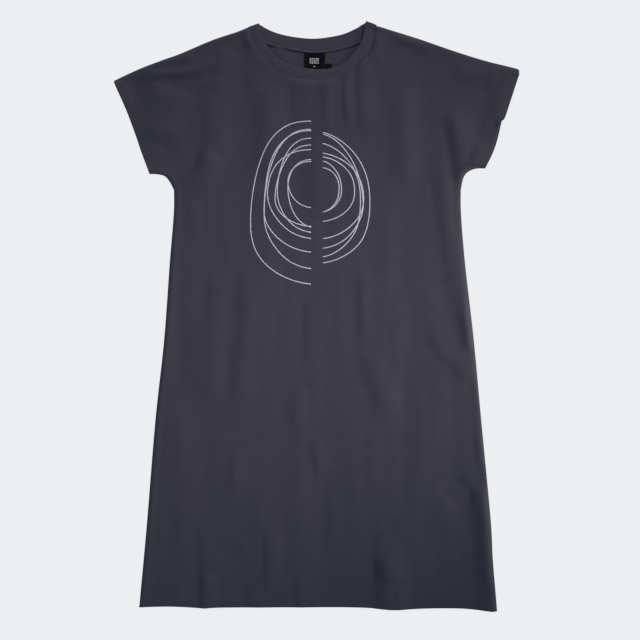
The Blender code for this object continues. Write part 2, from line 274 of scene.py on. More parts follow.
@dataclass(frozen=True)
class Cut:
    """Outline of the dress, from the same sizes as its solids."""

    step: float = 4.0              # spacing of the outline's points
    under_step: float = 2.8        # and of the underarm's
    hem: tuple[Place, ...] = (
        (-286, 7), (-230, 8), (-181, 5.5), (-150, 6.6), (50, 7), (102, 4.5), (128, 3),
        (180, 5), (230, 5), (257, 3), (283, 0), (290, 1))
    sides: tuple[SideRow, ...] = (
        SideRow(4, -286.3, 290.2), SideRow(83, -279, 283.8), SideRow(150, -273, 280),
        SideRow(308, -260, 265), SideRow(437, -246, 253), SideRow(560, -237, 239),
        SideRow(640, -230.5, 232.5), SideRow(678, -230, 232))
    under_left: tuple[Place, ...] = (
        (-230, 678), (-236, 690), (-244, 700), (-256, 703.5), (-269, 704))
    under_right: tuple[Place, ...] = (
        (232, 678), (236, 697), (243, 707), (256, 712.5), (271, 713))
    cuff_left: tuple[Place, ...] = (
        (-269, 704), (-281, 736), (-294, 774), (-309, 813), (-326.2, 852))
    cuff_right: tuple[Place, ...] = (
        (271, 713), (282, 735), (290, 757), (296.5, 784), (298, 790), (302.5, 794.5), (313, 826),
        (326.2, 866))
    shoulder_left: tuple[Place, ...] = (
        (-326.2, 854.5), (-287, 873), (-248, 888), (-220, 898), (-168, 920), (-129, 933),
        (-111.5, 940))
    shoulder_right: tuple[Place, ...] = (
        (96.5, 943), (116, 937), (167, 921), (219, 903), (270, 887), (321, 874), (326.2, 869))
    front_band: tuple[BandRow, ...] = (
        BandRow((-92.5, 945.2), (-109.5, 939)), BandRow((-88, 930), (-104.5, 927.5)),
        BandRow((-82, 914), (-98, 911.5)), BandRow((-66, 895), (-80, 888)),
        BandRow((-51, 883.3), (-60, 870)), BandRow((-20, 875.2), (-22.5, 859.5)),
        BandRow((-1, 872.7), (-1, 856.5)), BandRow((20, 873.8), (24, 858.5)),
        BandRow((39, 881), (47, 867)), BandRow((55, 892.5), (66.5, 881.5)),
        BandRow((70, 914), (85.5, 908)), BandRow((76, 933), (92.5, 930.5)),
        BandRow((79, 948.2), (95, 942)))
    back_band: tuple[BandRow, ...] = (
        BandRow((-92.5, 945.2), (-110, 939)), BandRow((-80, 938), (-95, 926)),
        BandRow((-64, 931.3), (-73, 916.5)), BandRow((-38, 925.3), (-43, 909.8)),
        BandRow((-2, 922.4), (-2, 904.2)), BandRow((38, 928.4), (43, 911.2)),
        BandRow((62, 938), (73, 923)), BandRow((71, 943.5), (86, 932)),
        BandRow((79, 948.2), (95, 942)))
    open_cuff_inset: float = 3.2   # the right cuff's front lies back from the back's edge here
    open_cuff_top: float = 795.0   # and only below this height
    seam_inset: float = 0.5        # the cloth's middle lies this far inside a seamed edge
    turned_inset: float = 0.9      # and this far inside a turned one
    open_cuff_fade: float = 5.0    # the height over which the right cuff's setback starts
    open_cuff_start: float = 0.12  # and the share of the cuff over which it does at the seam

    def band(self, face: Face) -> tuple[BandRow, ...]:
        """The neckband's table for one panel."""
        return self.front_band if face is Face.FRONT else self.back_band

    def neck_seam(self, face: Face, step: float | None = None) -> np.ndarray:
        """The neck seam of one panel, from the left neck point to the right one."""
        return even_curve([row.seam for row in self.band(face)], step or self.step)

    def hem_edge(self) -> np.ndarray:
        """The hem from left to right."""
        return even_curve(self.hem, self.step) + (0, self.turned_inset)

    def seam(self, side: Side) -> np.ndarray:
        """The side and underarm seam from the hem to the cuff.

        Args:
            side: which side of the dress.

        Returns:
            The seam's points.
        """
        if side is Side.LEFT:
            body, under = [(row.left, row.height) for row in self.sides], self.under_left
        else:
            body, under = [(row.right, row.height) for row in self.sides], self.under_right
        lower = even_curve(body, self.step)
        upper = even_curve(under, self.under_step)
        inward = self.seam_inset if side is Side.RIGHT else -self.seam_inset
        return beside(np.vstack([lower, upper[1:]]), inward)

    def cuff(self, side: Side, face: Face) -> np.ndarray:
        """The cuff's edge from the underarm to the shoulder.

        Args:
            side: which sleeve.
            face: which panel; the right cuff's front lies a little back from the back's.

        Returns:
            The edge's points.
        """
        rows = self.cuff_left if side is Side.LEFT else self.cuff_right
        edge = even_curve(rows, self.step / 2)
        if side is Side.RIGHT and face is Face.FRONT:
            along = np.linspace(0, 1, len(edge))
            open_part = (ease((self.open_cuff_top - edge[:, 1]) / self.open_cuff_fade)
                         * ease(along / self.open_cuff_start))
            edge[:, 0] -= self.open_cuff_inset * open_part
        return beside(edge, self.turned_inset if side is Side.RIGHT else -self.turned_inset)

    def shoulder(self, side: Side) -> np.ndarray:
        """The shoulder seam from left to right."""
        rows = self.shoulder_left if side is Side.LEFT else self.shoulder_right
        return beside(even_curve(rows, self.step), -self.seam_inset)

    def seams(self) -> list[np.ndarray]:
        """Every seam at which the two panels meet edge to edge."""
        return [self.seam(Side.LEFT), self.seam(Side.RIGHT), self.shoulder(Side.LEFT),
                self.shoulder(Side.RIGHT)]


# ---- how the cloth lies --------------------------------------------------------------------
@dataclass(frozen=True)
class Crease:
    """A soft ridge (rise above 0) or trough (below 0) along a path through a few places.

    Paths run from neck to hem, or from left to right. left and right are the widths of the
    two flanks of one that runs down, and the widths below and above one that runs across.
    start and finish are the shares of its length over which it fades in and out.
    """

    path: tuple[Place, ...]
    rise: float
    left: float
    right: float
    start: float = 0.3
    finish: float = 0.3

    def relief(self, points: np.ndarray) -> np.ndarray:
        """How much the crease lifts each point.

        Args:
            points: the points, each x and height.

        Returns:
            The lift at each point, below 0 in a trough.
        """
        distance, along, side = nearest(points, smooth_curve(self.path, CREASE_STEP))
        width = np.where(side > 0, self.right, self.left)
        across = 0.5 * (1 + np.cos(np.pi * np.clip(distance / width, 0, 1)))
        ends = np.ones(len(points))
        if self.start > 0:
            ends *= ease(along / self.start)
        if self.finish > 0:
            ends *= ease((1 - along) / self.finish)
        return self.rise * across * ends


CREASES = (
    # fanning down from the neck seam
    Crease(((-46, 852), (-45, 810), (-46, 770)), -1.3, 17, 14, 0.0, 0.45),
    Crease(((-19, 850), (-20, 800), (-16, 748)), 0.7, 18, 15, 0.0, 0.45),
    Crease(((16, 850), (17, 800), (20, 740)), 1.4, 15, 15, 0.0, 0.45),
    Crease(((48, 861), (49, 812), (55, 775)), 2.6, 11, 22, 0.0, 0.4),
    Crease(((71, 878), (72, 820), (75, 765)), 2.8, 13, 30, 0.0, 0.4),
    Crease(((70, 775), (58, 700), (56, 620)), 1.1, 20, 30, 0.4, 0.35),
    Crease(((2, 756), (4, 690), (0, 630)), 3.5, 46, 80, 0.3, 0.35),
    Crease(((-76, 858), (-78, 790), (-84, 735), (-92, 690)), 3.0, 28, 40, 0.25, 0.25),
    # round the collar
    Crease(((-114, 938), (-109, 918), (-98, 900)), 2.2, 12, 6, 0.0, 0.4),
    Crease(((-68, 866), (-47, 854), (-24, 850), (0, 847.5), (26, 850), (50, 859)), 2.7, 60, 8.5,
           0.3, 0.3),
    Crease(((-112, 890), (-100, 891), (-88, 893)), 0.9, 8, 12, 0.3, 0.3),
    Crease(((97, 930), (92, 905), (80, 882)), 2.2, 4, 20, 0.1, 0.3),
    Crease(((86, 896), (98, 892), (108, 890)), 1.0, 9, 12, 0.3, 0.3),
    # left shoulder and sleeve
    Crease(((-258, 878.5), (-222, 888), (-192, 889)), 2.3, 7, 13, 0.2, 0.25),
    Crease(((-290, 858), (-245, 866), (-206, 868), (-182, 875), (-159, 892)), 4.6, 11, 12,
           0.25, 0.15),
    Crease(((-151, 908), (-156, 884), (-160, 862), (-176, 846)), 2.8, 17, 34, 0.15, 0.3),
    Crease(((-336, 858), (-328, 832), (-317, 798)), 8.0, 20, 38, 0.0, 0.5),
    Crease(((-296, 858), (-288, 822), (-290, 788)), -1.5, 22, 42, 0.1, 0.3),
    Crease(((-225, 846), (-238, 800), (-252, 748)), 4.8, 58, 40, 0.2, 0.25),
    Crease(((-283, 738), (-268, 725), (-252, 720)), -2.6, 13, 24, 0.1, 0.35),
    # under the left arm
    Crease(((-169, 862), (-168, 790), (-169, 748), (-175, 716)), 2.6, 23, 50, 0.12, 0.25),
    Crease(((-172, 748), (-178, 728), (-189, 710), (-207, 697), (-236, 688)), 5.2, 18, 42,
           0.25, 0.75),
    Crease(((-197, 665), (-199, 630), (-200, 600)), 1.3, 16, 24, 0.35, 0.35),
    # right shoulder and sleeve
    Crease(((118, 928), (150, 918), (190, 904)), 2.4, 15, 9, 0.3, 0.3),
    Crease(((215, 876), (262, 866), (296, 858)), 2.3, 30, 20, 0.3, 0.2),
    Crease(((304, 876), (299, 850), (298, 815), (294, 786)), 1.9, 34, 26, 0.1, 0.15),
    Crease(((295, 792), (294, 784), (289, 775)), 2.0, 7, 9, 0.2, 0.3),
    Crease(((269, 756), (263, 732), (250, 708)), 4.8, 20, 60, 0.4, 0.0),
    # right front, from the chest and the arm
    Crease(((139, 850), (142, 770), (141, 665)), 3.3, 30, 40, 0.25, 0.3),
    Crease(((216, 816), (226, 775), (234, 735), (237, 692)), 4.7, 24, 36, 0.3, 0.06),
    Crease(((174, 780), (196, 735), (209, 650), (222, 575), (238, 486), (248, 418)), 2.3, 26, 20,
           0.3, 0.04),
    Crease(((236, 508), (242, 470), (250, 418)), 2.0, 18, 6, 0.4, 0.03),
    Crease(((182, 530), (186, 490), (190, 440)), 1.0, 46, 26, 0.3, 0.3),
    Crease(((182, 474), (199, 429), (228, 397), (250, 366)), 1.7, 22, 44, 0.35, 0.12),
    Crease(((132, 540), (131, 450), (134, 350)), 1.2, 18, 24, 0.35, 0.3),
    Crease(((76, 560), (76, 470), (80, 415)), 1.9, 16, 40, 0.3, 0.3),
    Crease(((80, 440), (92, 390), (110, 330), (116, 285)), 2.2, 28, 40, 0.3, 0.35),
    # middle
    Crease(((-8, 526), (-12, 453), (-16, 372)), 1.0, 14, 28, 0.25, 0.4),
    Crease(((-30, 375), (-31, 330), (-34, 285)), 1.1, 20, 26, 0.35, 0.35),
    Crease(((-6, 278), (2, 245), (6, 212)), 1.4, 13, 34, 0.25, 0.3),
    Crease(((27, 195), (26, 150), (27, 105)), 0.9, 16, 24, 0.35, 0.35),
    # left front
    Crease(((-164, 548), (-168, 500), (-172, 460)), 1.4, 12, 34, 0.3, 0.35),
    Crease(((-168, 510), (-172, 420), (-179, 320)), 2.9, 50, 34, 0.3, 0.3),
    Crease(((-103, 566), (-112, 437), (-124, 305)), 2.2, 36, 36, 0.25, 0.3),
    Crease(((-128, 265), (-130, 225), (-132, 185)), 1.0, 17, 30, 0.35, 0.35),
    Crease(((-118, 130), (-118, 100), (-120, 75)), 1.0, 24, 24, 0.35, 0.35),
    # right side towards the hem
    Crease(((258, 290), (264, 262), (266, 235)), 1.4, 12, 6, 0.3, 0.3),
    Crease(((207, 218), (229, 193), (250, 170)), -3.0, 34, 25, 0.25, 0.3),
    Crease(((203, 190), (213, 155), (219, 118)), 1.6, 60, 28, 0.3, 0.3),
    Crease(((267, 214), (272, 150), (277, 80), (282, 8)), 5.0, 30, 10, 0.2, 0.0),
    # up from the hem
    Crease(((-224, 56), (-223, 35), (-224, 8)), 1.1, 14, 16, 0.3, 0.0),
    Crease(((-182, 160), (-180, 80), (-180, 8)), 1.9, 15, 34, 0.5, 0.0),
    Crease(((-180, 64), (-180, 35), (-180, 8)), 3.0, 14, 26, 0.25, 0.0),
    Crease(((-116, 48), (-108, 30), (-98, 8)), 1.4, 10, 26, 0.3, 0.0),
    Crease(((-78, 150), (-76, 85), (-74, 24)), 2.2, 15, 32, 0.35, 0.15),
    Crease(((-29, 56), (-28, 35), (-27, 8)), 1.4, 8, 14, 0.2, 0.0),
    Crease(((110, 150), (112, 80), (112, 6)), 2.6, 28, 50, 0.5, 0.0),
    Crease(((115, 98), (116, 50), (117, 6)), 5.4, 29, 46, 0.3, 0.0),
    Crease(((133, 56), (133, 34), (132, 6)), 1.6, 8, 22, 0.3, 0.0),
    Crease(((137, 168), (137, 140), (136, 110)), 1.1, 18, 22, 0.3, 0.3),
)

# low ridges where the back panel lifts off the surface; it is flat between them
BACK_CREASES = (
    Crease(((-68, 914), (-58, 893), (-42, 878)), 2.0, 13, 22, 0.2, 0.3),
    Crease(((-84, 800), (-86, 720), (-96, 640)), 1.1, 26, 30, 0.3, 0.35),
    Crease(((60, 850), (66, 770), (70, 690)), 0.9, 20, 26, 0.2, 0.35),
    Crease(((150, 800), (148, 700), (160, 610)), 1.2, 30, 24, 0.3, 0.3),
    Crease(((-170, 840), (-172, 780), (-190, 735)), 1.1, 22, 28, 0.2, 0.25),
    Crease(((-170, 520), (-176, 430), (-184, 350)), 1.2, 26, 34, 0.25, 0.3),
    Crease(((78, 540), (84, 440), (104, 330)), 1.1, 24, 34, 0.3, 0.35),
    Crease(((190, 460), (214, 425), (236, 400)), 1.0, 22, 26, 0.3, 0.2),
    Crease(((-30, 360), (-34, 300), (-30, 240)), 0.8, 20, 26, 0.35, 0.35),
    Crease(((-182, 150), (-181, 100), (-180, 62)), 1.0, 18, 28, 0.4, 0.3),
    Crease(((112, 170), (114, 110), (113, 62)), 1.2, 26, 24, 0.4, 0.3),
)


@dataclass(frozen=True)
class Swell:
    """Irregular swelling of the cloth: how high it is, and how wide and tall its lumps are."""

    rise: float
    wide: float
    tall: float
    seed: float

    def relief(self, points: np.ndarray) -> np.ndarray:
        """How much the swelling lifts each point."""
        places = (Vector((x / self.wide, y / self.tall, self.seed)) for x, y in points)
        return self.rise * np.array([noise.noise(place) for place in places])


@dataclass
class Lie:
    """Levels of the two panels' middle surfaces above the floor."""

    cut: Cut
    cloth: float = 0.8            # jersey thickness
    meet: float = 1.3             # level at which the panels' edges meet at a seam
    roll: float = 4.5             # width over which the front rolls down to a seam
    back_roll: float = 3.0        # and over which the back rolls up to it
    base: float = 3.3             # the front's level where it lies plain
    hem_lift: float = 0.8         # how much the turned-up layers of the hem raise it
    cuff_lift: float = 0.9        # and those of a cuff, over a wider step
    turn_up_meet: float = 0.7     # how much they raise the meeting edges
    hem_depth: float = 46.0
    cuff_depth: float = 24.0
    hem_step: float = 6.0         # width of the step over the hem's turn-up
    cuff_step: float = 10.0       # and over a cuff's, for the cloth's lower bound
    cuff_slope: float = 36.0      # width of the slope over a cuff's, for the cloth itself
    hem_flattens: float = 0.35    # share of a crease that the hem's stiffness takes away
    lowest: float = 1.45          # the front's lower bound, clear of the back
    lowest_doubled: float = 1.85  # and how much a turn-up raises it
    crease_fade: float = 14.0     # width beside a seam over which creases fade
    crease_past: float = 3.0      # and how far past the seam that starts
    lump_fade: float = 26.0       # width beside a seam over which the swelling fades
    # from broad swelling to fine unevenness
    lumps: tuple[Swell, ...] = (Swell(0.5, 120, 130, 1.5), Swell(1.6, 48, 260, 9.5),
                                Swell(0.62, 22, 120, 7.5), Swell(0.08, 11, 22, 3.5))
    allowance_ridge: float = 0.7  # the front over the seam allowance inside
    allowance_place: float = 6.0  # its distance from the seam
    allowance_width: float = 3.4
    neck_groove: float = 0.05     # the front's dip along the neck seam
    neck_groove_width: float = 1.2
    neck_ridge: float = 0.8       # and its rise over the seam allowance there
    neck_rises: float = 5.0       # width over which it rises from the seam
    neck_falls: float = 18.0      # and falls again
    lines: dict[str, np.ndarray] = field(default_factory=dict)

    def __post_init__(self) -> None:
        """Works out the lines that the levels are measured from."""
        self.lines["hem"] = self.cut.hem_edge()
        self.lines["cuff_left"] = self.cut.cuff(Side.LEFT, Face.BACK)
        self.lines["cuff_right"] = self.cut.cuff(Side.RIGHT, Face.BACK)
        self.lines["neck"] = self.cut.neck_seam(Face.FRONT)

    def from_seam(self, points: np.ndarray) -> np.ndarray:
        """Distance of each point from the nearest side or shoulder seam."""
        return np.min([nearest(points, seam)[0] for seam in self.cut.seams()], axis=0)

    def over_hem(self, points: np.ndarray) -> np.ndarray:
        """1 where the cloth lies over the hem's turn-up, 0 away from it, with a soft step."""
        reach = nearest(points, self.lines["hem"])[0]
        return ease((self.hem_depth + self.hem_step / 2 - reach) / self.hem_step)

    def over_cuffs(self, points: np.ndarray, step: float) -> np.ndarray:
        """1 where the cloth lies over a cuff's turn-up, 0 away from it, with a soft step.

        Args:
            points: the points, each x and height.
            step: the width of the step.

        Returns:
            The share at each point, 0 to 1.
        """
        reach = np.min([nearest(points, self.lines[name])[0]
                        for name in ("cuff_left", "cuff_right")], axis=0)
        return ease((self.cuff_depth + step / 2 - reach) / step)

    def front(self, points: np.ndarray) -> np.ndarray:
        """Level of the front panel's middle surface at each point.

        Args:
            points: the points, each x and height.

        Returns:
            Their levels above the floor.
        """
        seam = self.from_seam(points)
        over_hem = self.over_hem(points)
        doubled = np.maximum(over_hem, self.over_cuffs(points, self.cuff_step))
        relief = sum(crease.relief(points) for crease in CREASES)
        relief = relief * (1 - self.hem_flattens * over_hem)
        relief = relief * ease((seam + self.crease_past) / self.crease_fade)
        lumps = sum(lump.relief(points) for lump in self.lumps) * ease(seam / self.lump_fade)
        over_cuffs = self.over_cuffs(points, self.cuff_slope)
        lift = self.hem_lift * over_hem + self.cuff_lift * over_cuffs
        ridge = self.allowance_ridge * hump(seam, self.allowance_place, self.allowance_width)
        full = self.base + lift + relief + lumps + ridge
        full = at_least(full, self.lowest + self.lowest_doubled * doubled)
        edge = self.meet + self.turn_up_meet * doubled + self.cloth / 2
        level = edge + (full - edge) * quarter_round(seam / self.roll)
        neck = nearest(points, self.lines["neck"])[0]
        falling = ease((neck - self.neck_rises) / self.neck_falls)
        rise = self.neck_ridge * ease(neck / self.neck_rises) * (1 - falling)
        return level - self.neck_groove * hump(neck, 0, self.neck_groove_width) + rise

    def back(self, points: np.ndarray) -> np.ndarray:
        """Level of the back panel's middle surface at each point: flat, and up at its seams.

        Args:
            points: the points, each x and height.

        Returns:
            Their levels above the floor.
        """
        seam = self.from_seam(points)
        doubled = np.maximum(self.over_hem(points), self.over_cuffs(points, self.cuff_step))
        rise = self.meet + self.turn_up_meet * doubled - self.cloth
        relief = sum(crease.relief(points) for crease in BACK_CREASES)
        relief = relief * ease(seam / self.crease_fade)
        return self.cloth / 2 + rise * (1 - quarter_round(seam / self.back_roll)) + relief


# ---- meshes --------------------------------------------------------------------------------
def to_metres(points: np.ndarray) -> list[tuple[float, float, float]]:
    """World places of points given as x, height and level."""
    moved = np.array(points, float) - (0, LENGTH / 2, 0)
    return [tuple(row) for row in moved * MM]


def garment() -> bpy.types.Collection:
    """The collection that holds every piece of the dress.

    Returns:
        The collection, made on the first call.
    """
    found = bpy.data.collections.get("t_shirt_dress")
    if found is None:
        found = bpy.data.collections.new("t_shirt_dress")
        bpy.context.scene.collection.children.link(found)
    return found


def make_piece(name: str, points: np.ndarray, faces: Sequence[Sequence[int]],
               material: bpy.types.Material, replaced: Sequence[str] = ()) -> bpy.types.Object:
    """A shown piece of the dress, smooth-shaded, riding on the dress's one body.

    Args:
        name: the piece's name.
        points: its points as x, height and level.
        faces: its faces as point numbers.
        material: its finish.
        replaced: the solids that it stands for.

    Returns:
        The new object.
    """
    mesh = bpy.data.meshes.new(name)
    mesh.from_pydata(to_metres(points), [], [tuple(map(int, face)) for face in faces])
    mesh.validate()
    mesh.materials.append(material)
    piece = bpy.data.objects.new(name, mesh)
    garment().objects.link(piece)
    mesh.shade_smooth()
    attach(piece, BODY)
    if replaced:
        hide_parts(*replaced)
    return piece


def thicken(piece: bpy.types.Object, thickness: float) -> None:
    """Gives an open surface a wall, half on each side, with crisp cut edges.

    Args:
        piece: the piece whose mesh is an open surface.
        thickness: the wall's thickness.
    """
    wall = piece.modifiers.new("wall", "SOLIDIFY")
    wall.thickness = thickness * MM
    wall.offset = 0.0
    evaluated = piece.evaluated_get(bpy.context.evaluated_depsgraph_get())
    solid = bpy.data.meshes.new_from_object(evaluated)
    solid.name = piece.name
    piece.modifiers.clear()
    piece.data = solid
    solid.set_sharp_from_angle(angle=math.radians(CRISP))


def join_closed(name: str, bodies: Sequence[tuple[np.ndarray, list[tuple[int, ...]]]],
                material: bpy.types.Material) -> bpy.types.Object:
    """Many small closed bodies as one piece.

    Args:
        name: the piece's name.
        bodies: each body's points and faces.
        material: its finish.

    Returns:
        The new object.
    """
    points, faces, first = [], [], 0
    for body_points, body_faces in bodies:
        points.append(body_points)
        faces += [tuple(index + first for index in face) for face in body_faces]
        first += len(body_points)
    return make_piece(name, np.vstack(points), faces, material)


def tube(sections: np.ndarray, closed: bool) -> tuple[np.ndarray, list[tuple[int, ...]]]:
    """A surface through matching rings of points.

    Args:
        sections: the rings, as ring by point by coordinate.
        closed: whether the last ring joins the first; if not, both ends are capped.

    Returns:
        The points and faces.
    """
    count, around = sections.shape[:2]
    faces: list[tuple[int, ...]] = []
    for ring in range(count if closed else count - 1):
        following = (ring + 1) % count
        for point in range(around):
            after = (point + 1) % around
            faces.append((ring * around + point, ring * around + after,
                          following * around + after, following * around + point))
    if not closed:
        faces.append(tuple(range(around - 1, -1, -1)))
        faces.append(tuple((count - 1) * around + point for point in range(around)))
    return sections.reshape(-1, 3), faces


# ---- panels --------------------------------------------------------------------------------
@dataclass
class Panel:
    """One panel of jersey in one piece with its turned-up hem and cuffs."""

    face: Face
    cut: Cut
    lie: Lie
    grid_x: float = 3.3            # spacing of the mesh's inner points across
    grid_y: float = 4.8            # and up the panel, in staggered rows
    clearance: float = 2.4         # between those points and the rows inside the edge
    edge_rows: tuple[float, ...] = (0.5, 1.3, 2.6, 4.6)   # distances of those rows from it
    fold_radius: float = 0.7       # of the turned edge, at the middle of the cloth
    fold_steps: int = 5
    layer_gap: float = 1.0         # between the panel and its turn-up, middle to middle
    side_inset: float = 3.4        # the turn-up's ends lie this far inside the seams
    strip_rows: tuple[float, ...] = (0.08, 0.2, 0.4, 0.7, 1.0)   # shares of its depth
    tucked_by: float = 6.0         # its ends are drawn in within a sixth of its depth
    settled_by: float = 5.0        # and it lies at its gap within a fifth
    hem_line_rows: tuple[float, ...] = (-3.0, 0.0, 3.0)   # beside the hem's stitched line
    line_clear: float = 0.7        # the grid's share of the clearance beside that line
    seam_run: int = 12             # points of a side seam that give its direction at the hem
    cuff_run: int = 4              # and of a seam at a cuff

    def outline(self) -> np.ndarray:
        """Closed outline of the panel, anticlockwise from the left end of the hem.

        Returns:
            The outline's points, without the first one again at the end.
        """
        right, left = self.cut.seam(Side.RIGHT), self.cut.seam(Side.LEFT)
        return np.vstack([
            self.cut.hem_edge()[:-1], right[:-1], self.cut.cuff(Side.RIGHT, self.face)[:-1],
            self.cut.shoulder(Side.RIGHT)[::-1][:-1], self.cut.neck_seam(self.face)[::-1],
            self.cut.shoulder(Side.LEFT)[::-1], self.cut.cuff(Side.LEFT, self.face)[::-1][1:],
            left[::-1][1:-1]])

    def flat_points(self, outline: np.ndarray) -> np.ndarray:
        """Points of the panel's mesh in the flat, after those of the outline.

        Args:
            outline: the closed outline.

        Returns:
            Rows of points beside the edges and beside the stitched lines, and a grid.
        """
        closed = np.vstack([outline, outline[:1]])
        rows = [beside(closed, distance)[:-1] for distance in self.edge_rows]
        rows += [self.cut.hem_edge() + (0, self.lie.hem_depth + distance)
                 for distance in self.hem_line_rows]
        near_edge = np.vstack(rows)
        low, high = outline.min(axis=0), outline.max(axis=0)
        xs = np.arange(low[0], high[0], self.grid_x)
        heights = np.arange(low[1], high[1], self.grid_y)
        grid = np.array([(x + (row % 2) * self.grid_x / 2, height)
                         for row, height in enumerate(heights) for x in xs])
        grid = grid[inside(grid, outline)]
        grid = grid[nearest(grid, closed)[0] > self.edge_rows[-1] + self.clearance]
        off_hem_line = np.abs(nearest(grid, self.cut.hem_edge())[0] - self.lie.hem_depth)
        grid = grid[off_hem_line > self.hem_line_rows[-1] + self.clearance * self.line_clear]
        kept = near_edge[inside(near_edge, outline)]
        kept = kept[nearest(kept, closed)[0] > self.edge_rows[0] * self.line_clear]
        return np.vstack([kept, grid])

    def level(self, points: np.ndarray) -> np.ndarray:
        """Level of the panel's middle surface at each point."""
        return self.lie.front(points) if self.face is Face.FRONT else self.lie.back(points)

    def turn_up(self, edge: np.ndarray, first: Vector, last: Vector,
                depth: float) -> list[np.ndarray]:
        """Rows of points round a turned edge and along the layer inside it.

        Args:
            edge: the edge's points, x and height, with the panel on their left.
            first: direction into the panel at the first point, along the seam there.
            last: the same at the last point.
            depth: how deep the turn-up is.

        Returns:
            The rows, each point by coordinate, from the edge to the turn-up's stitched end.
        """
        share = np.linspace(0, 1, len(edge))[:, None]
        inward = np.array(first)[None] * (1 - share) + np.array(last)[None] * share
        inward /= np.linalg.norm(inward, axis=1)[:, None]
        middle = edge.mean(axis=0)
        tucked = middle + (edge - middle) * (1 - 2 * self.side_inset / length_of(edge))
        sign = -1.0 if self.face is Face.FRONT else 1.0
        top = self.level(edge)
        rows = []
        for step in range(1, self.fold_steps + 1):
            angle = math.pi * step / self.fold_steps
            place = edge - inward * self.fold_radius * math.sin(angle)
            turned = self.fold_radius * (1 - math.cos(angle))
            rows.append(np.column_stack([place, top + sign * turned]))
        for part in self.strip_rows:
            drawn_in = ease(part * self.tucked_by)
            start = edge * (1 - drawn_in) + tucked * drawn_in
            place = start + inward * depth * part
            settled = ease(part * self.settled_by)
            gap = self.layer_gap + (2 * self.fold_radius - self.layer_gap) * (1 - settled)
            rows.append(np.column_stack([place, self.level(place) + sign * gap]))
        return rows

    def build(self, material: bpy.types.Material) -> bpy.types.Object:
        """Makes the panel.

        Args:
            material: the jersey.

        Returns:
            The panel's object.
        """
        outline = self.outline()
        flat = np.vstack([outline, self.flat_points(outline)])
        count = len(outline)
        rim = [(index, (index + 1) % count) for index in range(count)]
        result = delaunay_2d_cdt([Vector(point) for point in flat], rim, [], 0, MERGE)
        placed = np.array([tuple(point) for point in result[0]])
        triangles = np.array(result[2])
        triangles = triangles[inside(placed[triangles].mean(axis=1), outline)]
        number = {old: new for new, olds in enumerate(result[3]) for old in olds}
        points = np.column_stack([placed, self.level(placed)])
        faces = [tuple(triangle) for triangle in triangles]
        for edge, first, last, depth in self.turned_edges():
            chain = [number[int(np.argmin(np.linalg.norm(outline - point, axis=1)))]
                     for point in edge]
            previous = chain
            for row in self.turn_up(edge, first, last, depth):
                current = list(range(len(points), len(points) + len(row)))
                points = np.vstack([points, row])
                faces += [(previous[index + 1], previous[index], current[index], current[index + 1])
                          for index in range(len(row) - 1)]
                previous = current
        nodes = ["panel", "hem", "sleeve_hem_left", "sleeve_hem_right"]
        piece = make_piece(f"{self.face.value}_cloth", points, faces, material,
                           [f"{self.face.value}_{node}" for node in nodes])
        thicken(piece, self.lie.cloth)
        return piece

    def declare(self) -> None:
        """Works out the area of the panel's cut with its turn-ups; nothing uses the result.
        """
        outline = self.outline()
        self.flat_area(outline)

    def turned_edges(self) -> list[tuple[np.ndarray, Vector, Vector, float]]:
        """The hem and cuffs, each with the directions into the panel at its two ends.

        Returns:
            For each edge: its points, the two directions and the turn-up's depth.
        """
        left, right = self.cut.seam(Side.LEFT), self.cut.seam(Side.RIGHT)
        top_left, top_right = self.cut.shoulder(Side.LEFT), self.cut.shoulder(Side.RIGHT)
        edges = (
            (self.cut.hem_edge(), left, right, self.seam_run, self.lie.hem_depth),
            (self.cut.cuff(Side.RIGHT, self.face), right[::-1], top_right[::-1], self.cuff_run,
             self.lie.cuff_depth),
            (self.cut.cuff(Side.LEFT, self.face)[::-1], top_left, left[::-1], self.cuff_run,
             self.lie.cuff_depth))
        return [(edge, Vector(first[run] - first[0]).normalized(),
                 Vector(last[run] - last[0]).normalized(), depth)
                for edge, first, last, run, depth in edges]

    def flat_area(self, outline: np.ndarray) -> float:
        """Area in square metres of the panel's cut with its turn-ups.

        Args:
            outline: the closed outline of the panel.

        Returns:
            The area.
        """
        x, y = outline[:, 0], outline[:, 1]
        panel = abs(float(np.dot(x, np.roll(y, 1)) - np.dot(y, np.roll(x, 1)))) / 2
        strips = sum(length_of(edge) * depth for edge, _, _, depth in self.turned_edges())
        return (panel + strips) * MM * MM


